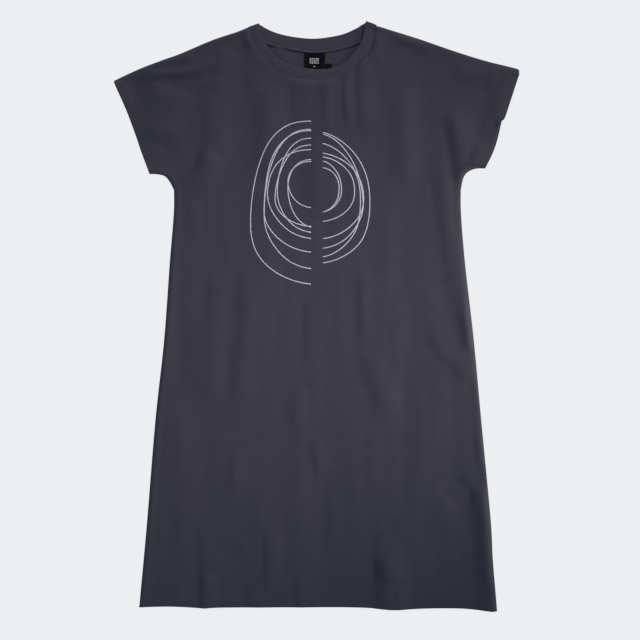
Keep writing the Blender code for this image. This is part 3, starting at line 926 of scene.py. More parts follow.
# ---- neckband ------------------------------------------------------------------------------
@dataclass
class Neckband:
    """The doubled rib band round the neck: one ring that folds over at the two neck points."""

    cut: Cut
    lie: Lie
    thickness: float = 1.9
    laid_width: float = 18.0       # over its curve
    step: float = 2.0              # spacing of its sections
    around: int = 15               # points across each face of a section
    fold_steps: int = 9
    lift: float = 0.6              # the free edge stands this much above the seam
    right_fold_lift: float = 4.6   # and more where the band folds over at the right neck point
    back_level: float = 1.0        # of its back strip's middle
    under: float = 0.9             # how far its seam edge runs in under the cloth
    sunk: float = 0.45             # and how much lower than the cloth it lies there
    crown: float = 1.1             # width over which its free edge rounds off
    dome: float = 0.3              # rise of its face towards the middle
    fold_reach: float = 1.2        # how far its folds stand out past the neck points
    evening: int = 15              # its level follows the cloth's, evened over so many sections
    fold_run: float = 30.0         # length over which its ends come down to the neck points
    right_fold_run: float = 110.0  # and over which the right end's extra lift fades
    strip_gap: float = 0.5         # clear space between its front and back strips
    edge_rows: float = 0.9         # how closely its rows crowd at both edges: 0 even, 1 most
    seam_share: float = 0.88       # its thickness at the seam edge, as a share
    seam_fade: float = 5.0         # width over which it thins to that
    dome_reach: float = 7.0        # width over which its face rises from the free edge
    dip: float = 0.12              # how much it sinks into the seam
    dip_start: float = 4.0         # where that starts, from the seam
    dip_run: float = 4.5           # and its width

    def strip(self, face: Face) -> tuple[np.ndarray, np.ndarray]:
        """Matching free-edge and seam-edge points of one strip, with their levels.

        Args:
            face: the panel that the strip is sewn to.

        Returns:
            The free edge's points and the seam edge's, each as x, height and level.
        """
        rows = self.cut.band(face)
        fine = smooth_curve([row.seam for row in rows], self.step / 3)
        count = round(length_of(fine) / self.step)
        grid = np.linspace(0, len(rows) - 1, count)
        free = self.at_rows(rows, grid, "free")
        seam = self.at_rows(rows, grid, "seam")
        if face is Face.BACK:
            level_free = np.full(count, self.back_level)
            level_seam = np.full(count, self.back_level)
        else:
            from_left = np.arange(count) * self.step
            from_right = from_left[::-1]
            ends = ease(np.minimum(from_left, from_right) / self.fold_run)
            fuller = self.right_fold_lift * (1 - ease(from_right / self.right_fold_run))
            low = self.back_level + self.thickness + self.strip_gap + fuller
            cloth = self.lie.front(seam)
            wrapped = np.pad(cloth, self.evening, mode="edge")
            evened = np.convolve(wrapped, np.ones(self.evening) / self.evening, "same")
            raised = evened[self.evening:-self.evening] - self.sunk
            level_seam = low * (1 - ends) + np.maximum(raised, low - fuller) * ends
            level_free = level_seam + self.lift * ends + fuller * ends
        return np.column_stack([free, level_free]), np.column_stack([seam, level_seam])

    @staticmethod
    def at_rows(rows: Sequence[BandRow], at: np.ndarray, edge: str) -> np.ndarray:
        """Points of one edge at shares of the table's rows, on a smooth curve through them.

        Args:
            rows: the table's rows.
            at: where the points lie, counted in rows.
            edge: which edge, free or seam.

        Returns:
            The points, each x and height.
        """
        padded = with_ends(np.array([getattr(row, edge) for row in rows], float))
        index = np.minimum(at.astype(int), len(rows) - 2)
        around = (padded[index + offset] for offset in range(4))
        return between(*around, (at - index)[:, None])

    def fold(self, upper: tuple[np.ndarray, np.ndarray],
             lower: tuple[np.ndarray, np.ndarray]) -> list[tuple[np.ndarray, ...]]:
        """Sections round the fold at a neck point, from the front strip to the back strip.

        Args:
            upper: the front strip's last free and seam points.
            lower: the back strip's matching points.

        Returns:
            A free point, a seam point and an outward direction for each section.
        """
        run = upper[1][:2] - upper[0][:2]
        outward = np.array((-run[1], run[0])) / np.linalg.norm(run)
        if outward[1] < 0:
            outward = -outward
        radius = (upper[0][2] - lower[0][2]) / 2
        sections = []
        for step in range(1, self.fold_steps):
            angle = math.pi * step / self.fold_steps
            shift = np.array((*(outward * self.fold_reach * math.sin(angle)),
                              radius * (math.cos(angle) - 1)))
            normal = np.array((*(outward * math.sin(angle)), math.cos(angle)))
            sections.append((upper[0] + shift, upper[1] + shift, normal))
        return sections

    def sections(self) -> list[tuple[np.ndarray, ...]]:
        """Every section of the ring: free point, seam point and the outer face's direction.

        Returns:
            The sections in order: front strip, right fold, back strip, left fold.
        """
        front_free, front_seam = self.strip(Face.FRONT)
        back_free, back_seam = self.strip(Face.BACK)
        up = np.array((0.0, 0.0, 1.0))
        ring = [(free, seam, up) for free, seam in zip(front_free, front_seam)]
        ring += self.fold((front_free[-1], front_seam[-1]), (back_free[-1], back_seam[-1]))
        ring += [(free, seam, -up) for free, seam in zip(back_free[::-1], back_seam[::-1])]
        ring += self.fold((front_free[0], front_seam[0]), (back_free[0], back_seam[0]))[::-1]
        return ring

    def build(self, material: bpy.types.Material) -> bpy.types.Object:
        """Makes the band.

        Args:
            material: the rib knit.

        Returns:
            The band's object.
        """
        even = np.linspace(0, 1, self.around)
        shares = even - self.edge_rows * np.sin(2 * np.pi * even) / (2 * np.pi)
        half = self.thickness / 2
        rings = []
        ring = self.sections()
        for free, seam, normal in ring:
            across = seam - free
            width = np.linalg.norm(across)
            across = across / width
            face = normal - across * float(normal @ across)
            face /= np.linalg.norm(face)
            reach = shares * (width + self.under)
            near_free = quarter_round(reach / self.crown)
            from_seam_edge = ease((width + self.under - reach) / self.seam_fade)
            near_seam = self.seam_share + (1 - self.seam_share) * from_seam_edge
            dome = self.dome * (ease(reach / self.dome_reach) - 1)
            puff = (half + dome) * near_free * near_seam
            sinking = ease((reach - (width - self.dip_start)) / self.dip_run)
            middle = free + np.outer(reach, across) - self.dip * sinking[:, None] * face
            upper = middle + puff[:, None] * face
            lower = middle - puff[:, None] * face
            rings.append(np.vstack([upper, lower[::-1][:-1]]))
        points, faces = tube(np.array(rings), closed=True)
        faces = [face[::-1] for face in faces]
        piece = make_piece("neckband_rib", points, faces, material, ["neckband"])
        self.unroll(piece, len(ring), 2 * self.around - 1, shares)
        return piece

    def unroll(self, piece: bpy.types.Object, count: int, around: int, shares: np.ndarray) -> None:
        """Lays the band out flat as UV coordinates in metres, along and across it.

        Args:
            piece: the band.
            count: how many sections it has.
            around: how many points each section has.
            shares: where across the band a section's upper points lie.
        """
        layer = piece.data.uv_layers.new(name="laid_out")
        across = np.concatenate([shares, 2 - shares[::-1][:-1]]) * self.laid_width * MM
        for polygon in piece.data.polygons:
            rows = [vertex // around for vertex in polygon.vertices]
            wraps = max(rows) - min(rows) > 1
            columns = [vertex % around for vertex in polygon.vertices]
            closes = max(columns) - min(columns) > 1
            for loop, row, column in zip(polygon.loop_indices, rows, columns):
                along = (row + (count if wraps and row < count / 2 else 0)) * self.step * MM
                over = 2 * self.laid_width * MM if closes and column == 0 else across[column]
                layer.data[loop].uv = (along, over)


@dataclass
class NeckTape:
    """The narrow raised tape over the back neck seam, seen inside the neck."""

    cut: Cut
    lie: Lie
    width: float = 5.0
    height: float = 2.0
    step: float = 2.5              # spacing of its sections
    end_gap: float = 14.0          # it stops this far from the ends of the seam
    seam_gap: float = 0.3          # between the tape and the neck seam
    clear: float = 0.04            # between the tape and the back panel
    # (across, up) as shares of its width and height, from its upper edge over its crest and
    # round the rolled lower edge
    profile: tuple[Place, ...] = (
        (-0.5, 0.0), (-0.42, 0.25), (-0.2, 0.6), (0.1, 0.9), (0.3, 1.0), (0.45, 0.9),
        (0.5, 0.7), (0.46, 0.45), (0.3, 0.3))

    def build(self, material: bpy.types.Material) -> bpy.types.Object:
        """Makes the tape as a low ribbon that rises to its lower edge, clear of the panel there.

        Args:
            material: the rib knit.

        Returns:
            The tape's object.
        """
        seam = self.cut.neck_seam(Face.BACK, self.step)
        skip = round(self.end_gap / self.step)
        line = beside(seam, -self.width / 2 - self.seam_gap)[skip:-skip]
        run = directions(line)
        out = np.stack([run[:, 1], -run[:, 0]], axis=1)
        floor = self.lie.cloth + self.clear
        rings = [[(*(point + away * self.width * across), floor + self.height * up)
                  for across, up in self.profile] for point, away in zip(line, out)]
        points, faces = tube(np.array(rings), closed=False)
        return make_piece("back_neck_tape", points, faces, material, ["neck_tape"])


# ---- labels --------------------------------------------------------------------------------
@dataclass
class WovenLabel:
    """A flat woven label, a little bowed, with its top sewn down."""

    name: str
    node: str
    left: float
    right: float
    bottom: float
    top: float
    level: float
    thickness: float = 0.5
    bow: float = 0.35              # rise of its middle at the free end
    cells: int = 14                # of its mesh, each way
    stitch_insets: tuple[float, float] = (3.2, 2.6)    # of the lines of stitches at its sides
    stitch_start: float = 1.0      # those lines end this far from its top and bottom
    mark: Place = (-4.1, 886.4)    # middle of the woven ornament
    mark_columns: int = 5
    mark_rows: int = 3
    mark_pitch: Place = (3.1, 3.3)
    mark_cell: Place = (1.9, 2.3)
    dash_height: float = 877.6
    dash: Place = (3.0, 1.1)
    weft: float = 0.12             # how far the ornament stands out
    weft_root: float = 0.05        # and how far it runs in

    def level_at(self, points: np.ndarray) -> np.ndarray:
        """Level of the label's middle surface: lowest at its sewn top.

        Args:
            points: the points, each x and height.

        Returns:
            Their levels above the floor.
        """
        across = (points[:, 0] - self.left) / (self.right - self.left)
        down = (self.top - points[:, 1]) / (self.top - self.bottom)
        return self.level + self.bow * np.sin(np.pi * across) * ease(down)

    def build(self, material: bpy.types.Material) -> bpy.types.Object:
        """Makes the label.

        Args:
            material: the woven satin.

        Returns:
            The label's object.
        """
        xs = np.linspace(self.left, self.right, self.cells + 1)
        heights = np.linspace(self.bottom, self.top, self.cells + 1)
        flat = np.array([(x, height) for height in heights for x in xs])
        row = self.cells + 1
        faces = [(r * row + c, r * row + c + 1, (r + 1) * row + c + 1, (r + 1) * row + c)
                 for r in range(self.cells) for c in range(self.cells)]
        piece = make_piece(self.name, np.column_stack([flat, self.level_at(flat)]), faces,
                           material, [self.node])
        thicken(piece, self.thickness)
        return piece

    def side_lines(self) -> list[np.ndarray]:
        """Upright lines just inside its two sides, for the stitches that hold them.

        Returns:
            The left line and the right one.
        """
        heights = np.arange(self.bottom + self.stitch_start, self.top - self.stitch_start, 1.0)
        return [np.column_stack([np.full(len(heights), x), heights])
                for x in (self.left + self.stitch_insets[0], self.right - self.stitch_insets[1])]

    def bars(self, material: bpy.types.Material) -> bpy.types.Object:
        """A plain woven ornament in the label's middle: a small grid over a short dash.

        Args:
            material: the white weft.

        Returns:
            The ornament's object.
        """
        columns = range(-(self.mark_columns // 2), self.mark_columns // 2 + 1)
        rows = range(-(self.mark_rows // 2), self.mark_rows // 2 + 1)
        middle, height = self.mark
        shapes = [((middle + column * self.mark_pitch[0], height + row * self.mark_pitch[1]),
                   self.mark_cell) for column in columns for row in rows]
        shapes.append(((middle, self.dash_height), self.dash))
        turns = np.array(((-1, -1), (1, -1), (1, 1), (-1, 1))) / 2
        faces = [(3, 2, 1, 0), (4, 5, 6, 7), (0, 1, 5, 4), (1, 2, 6, 5), (2, 3, 7, 6), (3, 0, 4, 7)]
        bodies = []
        for place, size in shapes:
            corners = np.array(place) + turns * size
            level = self.level_at(corners) + self.thickness / 2
            bodies.append((np.vstack([np.column_stack([corners, level - self.weft_root]),
                                      np.column_stack([corners, level + self.weft])]), faces))
        piece = join_closed(f"{self.name}_bars", bodies, material)
        piece.data.shade_flat()
        return piece


# ---- what lies on the front ----------------------------------------------------------------
class ClothTop:
    """The upper face of a panel as built, to lay fine work on."""

    def __init__(self, piece: bpy.types.Object) -> None:
        """Takes the piece's mesh.

        Args:
            piece: the piece to lay fine work on.
        """
        mesh = piece.data
        self.tree = BVHTree.FromPolygons([vertex.co for vertex in mesh.vertices],
                                         [tuple(polygon.vertices) for polygon in mesh.polygons])

    def level(self, points: np.ndarray) -> np.ndarray:
        """Level of the cloth's upper face at each point.

        Args:
            points: the points, each x and height, in order along a line.

        Returns:
            Their levels; one that misses the cloth takes its neighbours' level.
        """
        found = []
        for x, height in points:
            start = Vector((x * MM, (height - LENGTH / 2) * MM, ABOVE))
            hit = self.tree.ray_cast(start, Vector((0, 0, -1)))[0]
            found.append(hit.z / MM if hit else np.nan)
        levels = np.array(found)
        known = ~np.isnan(levels)
        return np.interp(np.arange(len(levels)), np.flatnonzero(known), levels[known])


@dataclass(frozen=True)
class Loop:
    """Half of one uneven loop of the print, between its two ends at the split.

    top and bottom are the heights of its ends, widest the height where it reaches furthest.
    crown and foot are angles: how much of the turn is missing above 0, or runs on below 0, at
    each end. full is the power of the sine: below 1 fills the upper shoulder out. wobble
    scales how far the line strays.
    """

    top: float
    widest: float
    bottom: float
    reach: float
    full: float = 1.0
    crown: float = 0.0
    foot: float = 0.1
    wobble: float = 1.0


@dataclass(frozen=True)
class HalfPrint:
    """One half of the print, from its innermost loop to its outermost.

    The loops between them follow a rule: each of their sizes has a share of the way out that
    grows from loop to loop, and is uneven, so that the lines bunch, part and cross.
    """

    side: Side
    count: int
    inner: Loop
    outer: Loop
    crowd: float                   # over 1 draws the loops towards the innermost
    seed: float                    # gives the loops' sizes their own unevenness
    line_seed: int                 # and this one their lines, counting up from it
    uneven: float = 0.7
    rate: float = 4.1              # how quickly the unevenness changes on the way out
    apart: float = 2.3             # how different it is from size to size

    def loops(self) -> list[Loop]:
        """All the loops of this half, from the innermost to the outermost.

        Returns:
            The loops.
        """
        inner = np.array(astuple(self.inner))
        outer = np.array(astuple(self.outer))
        found = []
        for place in np.linspace(0, 1, self.count):
            stray = np.array([
                noise.noise(Vector((place * self.rate, size * self.apart, self.seed)))
                for size in range(len(inner))])
            share = place ** self.crowd + self.uneven * stray * math.sin(math.pi * place)
            found.append(Loop(*(inner + (outer - inner) * np.clip(share, 0, 1))))
        return found


@dataclass
class Print:
    """Irregular thin loops, split down the middle with the right half set lower."""

    top: ClothTop
    left_end: float = -9.3         # where the left half's lines end at the split
    right_end: float = 9.3         # and the right half's
    line: float = 1.6              # width of a line
    ink: float = 0.13              # how far the ink stands out
    root: float = 0.06             # how far its edges sink into the cloth
    under: float = 0.12            # and its underside
    spacing: float = 2.2           # of the points along a line
    turns: int = 120               # points round a loop before that
    shoulder: float = 0.42         # where the ink's flat top ends, as a share of its width
    shoulder_height: float = 0.8   # and its height there, as a share of the middle's
    waver: float = 3.0             # how far a loop strays, for a wobble of 1
    waver_rate: float = 1.3        # how quickly that changes with the angle
    waver_apart: float = 3.1       # how different it is from line to line
    waver_layer: float = 0.5
    halves: tuple[HalfPrint, ...] = (
        HalfPrint(Side.LEFT, 8, Loop(724, 690, 650, 37, 0.9, 0.0, 0.1, 0.5),
                  Loop(789, 622, 527, 98, 0.75, 0.0, 0.1, 1.4), 1.25, 4.2, 44),
        HalfPrint(Side.RIGHT, 7, Loop(714, 680, 643, 27, 0.95, 0.15, 0.15, 0.5),
                  Loop(771, 650, 561, 78, 1.0, 0.2, 0.1, 1.4), 1.1, 17.6, 55))

    def path(self, loop: Loop, side: Side, seed: int) -> np.ndarray:
        """Centre line of one half loop.

        Args:
            loop: its sizes.
            side: which half.
            seed: gives it its own unevenness.

        Returns:
            The centre line's points, from its upper end to its lower end.
        """
        angle = np.linspace(loop.crown, np.pi - loop.foot, self.turns)
        upper = angle < np.pi / 2
        power = np.where(upper, loop.full, 1.0)
        out = np.sign(np.sin(angle)) * np.abs(np.sin(angle)) ** power
        first = math.copysign(abs(math.sin(loop.crown)) ** loop.full, loop.crown)
        start = np.where(upper, first, math.sin(loop.foot))
        out = (out - start) / (1 - start)
        rise = (loop.top - loop.widest) / math.cos(loop.crown)
        fall = (loop.widest - loop.bottom) / math.cos(loop.foot)
        height = loop.widest + np.where(upper, rise, fall) * np.cos(angle)
        uneven = np.array([noise.noise(Vector((turn * self.waver_rate, seed * self.waver_apart,
                                               self.waver_layer))) for turn in angle])
        reach = loop.reach * out + uneven * loop.wobble * self.waver * np.sin(angle)
        x = self.left_end - reach if side is Side.LEFT else self.right_end + reach
        line = np.column_stack([x, height])
        return spaced(line, round(length_of(line) / self.spacing))

    def build(self, material: bpy.types.Material) -> bpy.types.Object:
        """Makes the print as thin ribbons of ink lying on the cloth.

        Args:
            material: the ink.

        Returns:
            The print's object.
        """
        bodies = []
        for half in self.halves:
            bodies += [self.ribbon(self.path(loop, half.side, seed))
                       for seed, loop in enumerate(half.loops(), half.line_seed)]
        return join_closed("print_loops", bodies, material)

    def ribbon(self, line: np.ndarray) -> tuple[np.ndarray, list[tuple[int, ...]]]:
        """One line of ink: a thin strip with its edges sunk into the cloth.

        Args:
            line: its centre line.

        Returns:
            The points and faces of the strip.
        """
        offsets = (-0.5, -self.shoulder, 0.0, self.shoulder, 0.5)
        rows = [beside(line, share * self.line) for share in offsets]
        levels = [self.top.level(row) for row in rows]
        low = self.ink * self.shoulder_height
        tops = [-self.root, low, self.ink, low, -self.root]
        upper = [np.column_stack([row, level + rise])
                 for row, level, rise in zip(rows, levels, tops)]
        lower = [np.column_stack([rows[index], levels[index] - self.under])
                 for index in (4, 2, 0)]
        return tube(np.stack([*upper[::-1], *lower[::-1]], axis=1), closed=False)


@dataclass
class Stitching:
    """Rows of short stitches laid on the cloth."""

    top: ClothTop
    pitch: float = 3.1             # from stitch to stitch
    stitch: float = 2.5            # length of one
    thread: float = 0.42           # its width
    proud: float = 0.06            # its middle stands this far above the cloth
    around: int = 6                # points round the thread
    flatness: float = 0.9          # the thread's height as a share of its width
    tip: float = 0.06              # squared share of the thread's width at a stitch's ends
    stations: tuple[float, ...] = (-1.0, -0.75, 0.0, 0.75, 1.0)   # along half a stitch

    def row(self, line: np.ndarray) -> list[tuple[np.ndarray, list[tuple[int, ...]]]]:
        """The stitches of one row, as small closed bodies.

        Args:
            line: the row's centre line.

        Returns:
            Each stitch's points and faces.
        """
        count = max(2, round(length_of(line) / self.pitch))
        middles = spaced(line, count)
        run = directions(middles)
        shares = np.array(self.stations)
        fullness = np.sqrt(np.maximum(1 - shares ** 2, self.tip))
        along = (shares[None, :, None] * run[:, None, :] * self.stitch / 2
                 + middles[:, None, :]).reshape(-1, 2)
        levels = self.top.level(along).reshape(count, len(shares))
        turns = np.linspace(0, 2 * np.pi, self.around + 1)[:-1]
        bodies = []
        for index in range(count):
            left = np.array((-run[index][1], run[index][0], 0.0))
            sections = []
            for place, full in enumerate(fullness):
                centre = np.array((*along[index * len(shares) + place],
                                   levels[index, place] + self.proud))
                half = self.thread / 2 * full
                sections.append([centre + left * half * math.cos(turn)
                                 + (0, 0, half * self.flatness * math.sin(turn))
                                 for turn in turns])
            bodies.append(tube(np.array(sections), closed=False))
        return bodies

    def build(self, name: str, lines: Sequence[np.ndarray],
              material: bpy.types.Material) -> bpy.types.Object:
        """Makes several rows of stitches as one piece."""
        return join_closed(name, [body for line in lines for body in self.row(line)], material)


# ---- finishes ------------------------------------------------------------------------------
MIX_A, MIX_B, MIX_RESULT = 6, 7, 2     # the colour sockets of a Mix node


def linear(colour: str) -> tuple[float, float, float, float]:
    """Linear RGBA of an sRGB hex colour such as "3D3B47"."""
    channels = [int(colour[index:index + 2], 16) / 255 for index in (0, 2, 4)]
    return (*[c / 12.92 if c <= 0.04045 else ((c + 0.055) / 1.055) ** 2.4 for c in channels], 1.0)


def add_node(tree: bpy.types.NodeTree, kind: str, settings: dict[str, Any] | None = None,
             links: dict[str | int, Any] | None = None) -> bpy.types.Node:
    """Adds a node.

    Args:
        tree: the node tree.
        kind: the node's type name.
        settings: attributes to set on it.
        links: for each input, an output socket to link from or a value to set.

    Returns:
        The new node.
    """
    node = tree.nodes.new(kind)
    for name, value in (settings or {}).items():
        setattr(node, name, value)
    for name, value in (links or {}).items():
        if isinstance(value, bpy.types.NodeSocket):
            tree.links.new(value, node.inputs[name])
        else:
            node.inputs[name].default_value = value
    return node


@dataclass(frozen=True)
class KnitFinish:
    """Piece-dyed cotton knit with a soft brushed face: matt, with a faint pale nap.

    The knit's columns and rows are at their real pitch, so they only soften the light from
    afar; the nap's mottling is what shows.
    """

    name: str
    colour: str
    shade: str
    column: float                  # pitch of the knit's columns, millimetres
    course: float                  # pitch of its rows
    along: str = "Object"          # the coordinates that the knit follows
    mottle: float = 14.0           # size of the nap's mottling
    fleck: float = 1.9             # size of single tufts, drawn coarse enough to show
    depth: float = 0.12            # depth of the knit's relief
    roughness: float = 0.88
    sheen: float = 0.25
    sheen_roughness: float = 0.5
    sheen_colour: str = "B9B4C6"
    specular: float = 0.25
    tuft_share: float = 0.55       # how much of the mottling is single tufts
    contrast: tuple[float, float] = (0.35, 0.65)   # mottling that gives shade and colour
    fuzz: float = 0.6              # the tufts' height against the knit's
    relief_strength: float = 0.5
    slant: float = 1.2             # how steeply the loops' legs run
    wale_height: float = 1.3       # height of the columns, for a share of their pitch
    course_height: float = 0.7     # and of the rows

    def build(self) -> bpy.types.Material:
        """Makes the material.

        Returns:
            The new material.
        """
        material = bpy.data.materials.new(self.name)
        material.use_nodes = True
        tree = material.node_tree
        shader = tree.nodes["Principled BSDF"]
        where = add_node(tree, "ShaderNodeTexCoord")
        lie = where.outputs["Object"]
        knit = where.outputs[self.along]
        broad = add_node(tree, "ShaderNodeTexNoise", {}, {
            "Vector": lie, "Scale": 1 / (self.mottle * MM), "Detail": 3.0, "Roughness": 0.6})
        tufts = add_node(tree, "ShaderNodeTexNoise", {}, {
            "Vector": lie, "Scale": 1 / (self.fleck * MM), "Detail": 2.0, "Roughness": 0.7})
        both = add_node(tree, "ShaderNodeMix", {"data_type": "FLOAT"}, {
            "Factor": self.tuft_share, "A": broad.outputs["Fac"], "B": tufts.outputs["Fac"]})
        spread = add_node(tree, "ShaderNodeMapRange", {}, {
            "Value": both.outputs["Result"], "From Min": self.contrast[0],
            "From Max": self.contrast[1]})
        colour = add_node(tree, "ShaderNodeMix", {"data_type": "RGBA"}, {
            "Factor": spread.outputs["Result"], MIX_A: linear(self.shade),
            MIX_B: linear(self.colour)})
        tree.links.new(colour.outputs[MIX_RESULT], shader.inputs["Base Color"])
        height = self.knit_relief(tree, knit)
        fuzz = add_node(tree, "ShaderNodeMath", {"operation": "MULTIPLY_ADD"}, {
            0: tufts.outputs["Fac"], 1: self.fuzz, 2: height})
        bump = add_node(tree, "ShaderNodeBump", {}, {
            "Height": fuzz.outputs["Value"], "Distance": self.depth * MM,
            "Strength": self.relief_strength})
        tree.links.new(bump.outputs["Normal"], shader.inputs["Normal"])
        shader.inputs["Roughness"].default_value = self.roughness
        shader.inputs["Specular IOR Level"].default_value = self.specular
        shader.inputs["Sheen Weight"].default_value = self.sheen
        shader.inputs["Sheen Roughness"].default_value = self.sheen_roughness
        shader.inputs["Sheen Tint"].default_value = linear(self.sheen_colour)
        return material

    def knit_relief(self, tree: bpy.types.NodeTree,
                    where: bpy.types.NodeSocket) -> bpy.types.NodeSocket:
        """Relief of the knit: columns of small V-shaped loops.

        Args:
            tree: the material's node tree.
            where: the coordinates that the knit follows, in metres.

        Returns:
            The socket that gives the relief, 0 to 1.
        """
        axes = add_node(tree, "ShaderNodeSeparateXYZ", {}, {"Vector": where})
        column = add_node(tree, "ShaderNodeMath", {"operation": "PINGPONG"}, {
            0: axes.outputs["X"], 1: self.column * MM / 2})
        slope = add_node(tree, "ShaderNodeMath", {"operation": "MULTIPLY_ADD"}, {
            0: column.outputs["Value"], 1: self.slant, 2: axes.outputs["Y"]})
        course = add_node(tree, "ShaderNodeMath", {"operation": "PINGPONG"}, {
            0: slope.outputs["Value"], 1: self.course * MM / 2})
        wale = add_node(tree, "ShaderNodeMath", {"operation": "MULTIPLY"}, {
            0: column.outputs["Value"], 1: self.wale_height / (self.column * MM)})
        loops = add_node(tree, "ShaderNodeMath", {"operation": "MULTIPLY_ADD"}, {
            0: course.outputs["Value"], 1: self.course_height / (self.course * MM),
            2: wale.outputs["Value"]})
        return loops.outputs["Value"]


@dataclass(frozen=True)
class PlainFinish:
    """A simple finish with fine unevenness: ink, thread, woven label or paper."""

    name: str
    colour: str
    shade: str
    grain: float                   # size of the unevenness, millimetres
    depth: float
    roughness: float
    sheen: float = 0.0
    specular: float = 0.3
    glow: float = 0.0
    light: str = "FFFFFF"          # the colour that it glows in
    contrast: tuple[float, float] = (0.3, 0.6)     # unevenness that gives shade and colour
    relief_strength: float = 0.4

    def build(self) -> bpy.types.Material:
        """Makes the material.

        Returns:
            The new material.
        """
        material = bpy.data.materials.new(self.name)
        material.use_nodes = True
        tree = material.node_tree
        shader = tree.nodes["Principled BSDF"]
        where = add_node(tree, "ShaderNodeTexCoord")
        grain = add_node(tree, "ShaderNodeTexNoise", {}, {
            "Vector": where.outputs["Object"], "Scale": 1 / (self.grain * MM), "Detail": 2.0})
        ramp = add_node(tree, "ShaderNodeValToRGB", {}, {"Fac": grain.outputs["Fac"]})
        tones = (self.shade, self.colour)
        for stop, place, tone in zip(ramp.color_ramp.elements, self.contrast, tones):
            stop.position = place
            stop.color = linear(tone)
        tree.links.new(ramp.outputs["Color"], shader.inputs["Base Color"])
        bump = add_node(tree, "ShaderNodeBump", {}, {
            "Height": grain.outputs["Fac"], "Distance": self.depth * MM,
            "Strength": self.relief_strength})
        tree.links.new(bump.outputs["Normal"], shader.inputs["Normal"])
        shader.inputs["Roughness"].default_value = self.roughness
        shader.inputs["Specular IOR Level"].default_value = self.specular
        shader.inputs["Sheen Weight"].default_value = self.sheen
        if self.glow:
            shader.inputs["Emission Color"].default_value = linear(self.light)
            shader.inputs["Emission Strength"].default_value = self.glow
        return material


# the eye gets a matt, slightly violet charcoal; a faint mottling keeps it from looking like paint
JERSEY = KnitFinish("cotton_jersey_charcoal", "3F404D", "3B3C49", column=1.0, course=0.8)
# the same dye on a rib: a touch lighter, with fine ridges that run across the band
RIB = KnitFinish("cotton_rib_charcoal", "434452", "3D3E4B", column=1.6, course=0.8,
                 along="UV", depth=0.3)
# pale lilac lines, flat and dull against the knit
INK = PlainFinish("screen_print_ink_white", "D6D7E4", "C5C6D4", grain=0.9, depth=0.05,
                  roughness=0.6)
# stitches that show by their slight gleam and shadow, as they are dyed to match the cloth
THREAD = PlainFinish("polyester_thread_charcoal", "403E4B", "343240", grain=0.6, depth=0.05,
                     roughness=0.55)
# the darkest thing on the dress: dense black, with almost no highlight
SATIN = PlainFinish("woven_satin_label_black", "09090C", "050507", grain=0.5, depth=0.08,
                    roughness=0.6, specular=0.1)
# a row of small grey ticks down each side of the label
LABEL_THREAD = PlainFinish("polyester_thread_grey", "5A5A60", "4A4A50", grain=0.5, depth=0.05,
                           roughness=0.6)
# the one light spot on the label
WHITE_WEFT = PlainFinish("woven_label_weft_white", "C6C8D0", "A6A8B2", grain=0.5, depth=0.08,
                         roughness=0.6)
# an even, cool near-white with hardly a shadow, so it gives its own light
PAPER = PlainFinish("matt_backdrop_paper", "6F6E6C", "6E6D6B", grain=40.0, depth=0.0,
                    roughness=0.95, glow=1.0, light="E7E8EB")


# ---- studio --------------------------------------------------------------------------------
@dataclass(frozen=True)
class SoftLight:
    """A soft light that points at the dress: a square panel, or a round spot with a faded rim."""

    name: str
    place: tuple[float, float, float]
    size: float
    power: float
    colour: str
    aim: tuple[float, float, float] = (0.0, 0.0, 0.0)
    cone: float | None = None      # degrees across; none for a panel

    def build(self, lit: bpy.types.Collection) -> None:
        """Makes the light.

        Args:
            lit: the pieces that it lights; the floor keeps its even tone.
        """
        if self.cone is None:
            lamp = bpy.data.lights.new(self.name, "AREA")
            lamp.shape = "SQUARE"
            lamp.size = self.size
        else:
            lamp = bpy.data.lights.new(self.name, "SPOT")
            lamp.spot_size = math.radians(self.cone)
            lamp.spot_blend = 1.0
            lamp.shadow_soft_size = self.size / 2
        lamp.energy = self.power
        lamp.color = linear(self.colour)[:3]
        light = bpy.data.objects.new(self.name, lamp)
        light.location = self.place
        light.rotation_euler = (Vector(self.aim) - Vector(self.place)).to_track_quat(
            "-Z", "Y").to_euler()
        bpy.context.scene.collection.objects.link(light)
        light.light_linking.receiver_collection = lit


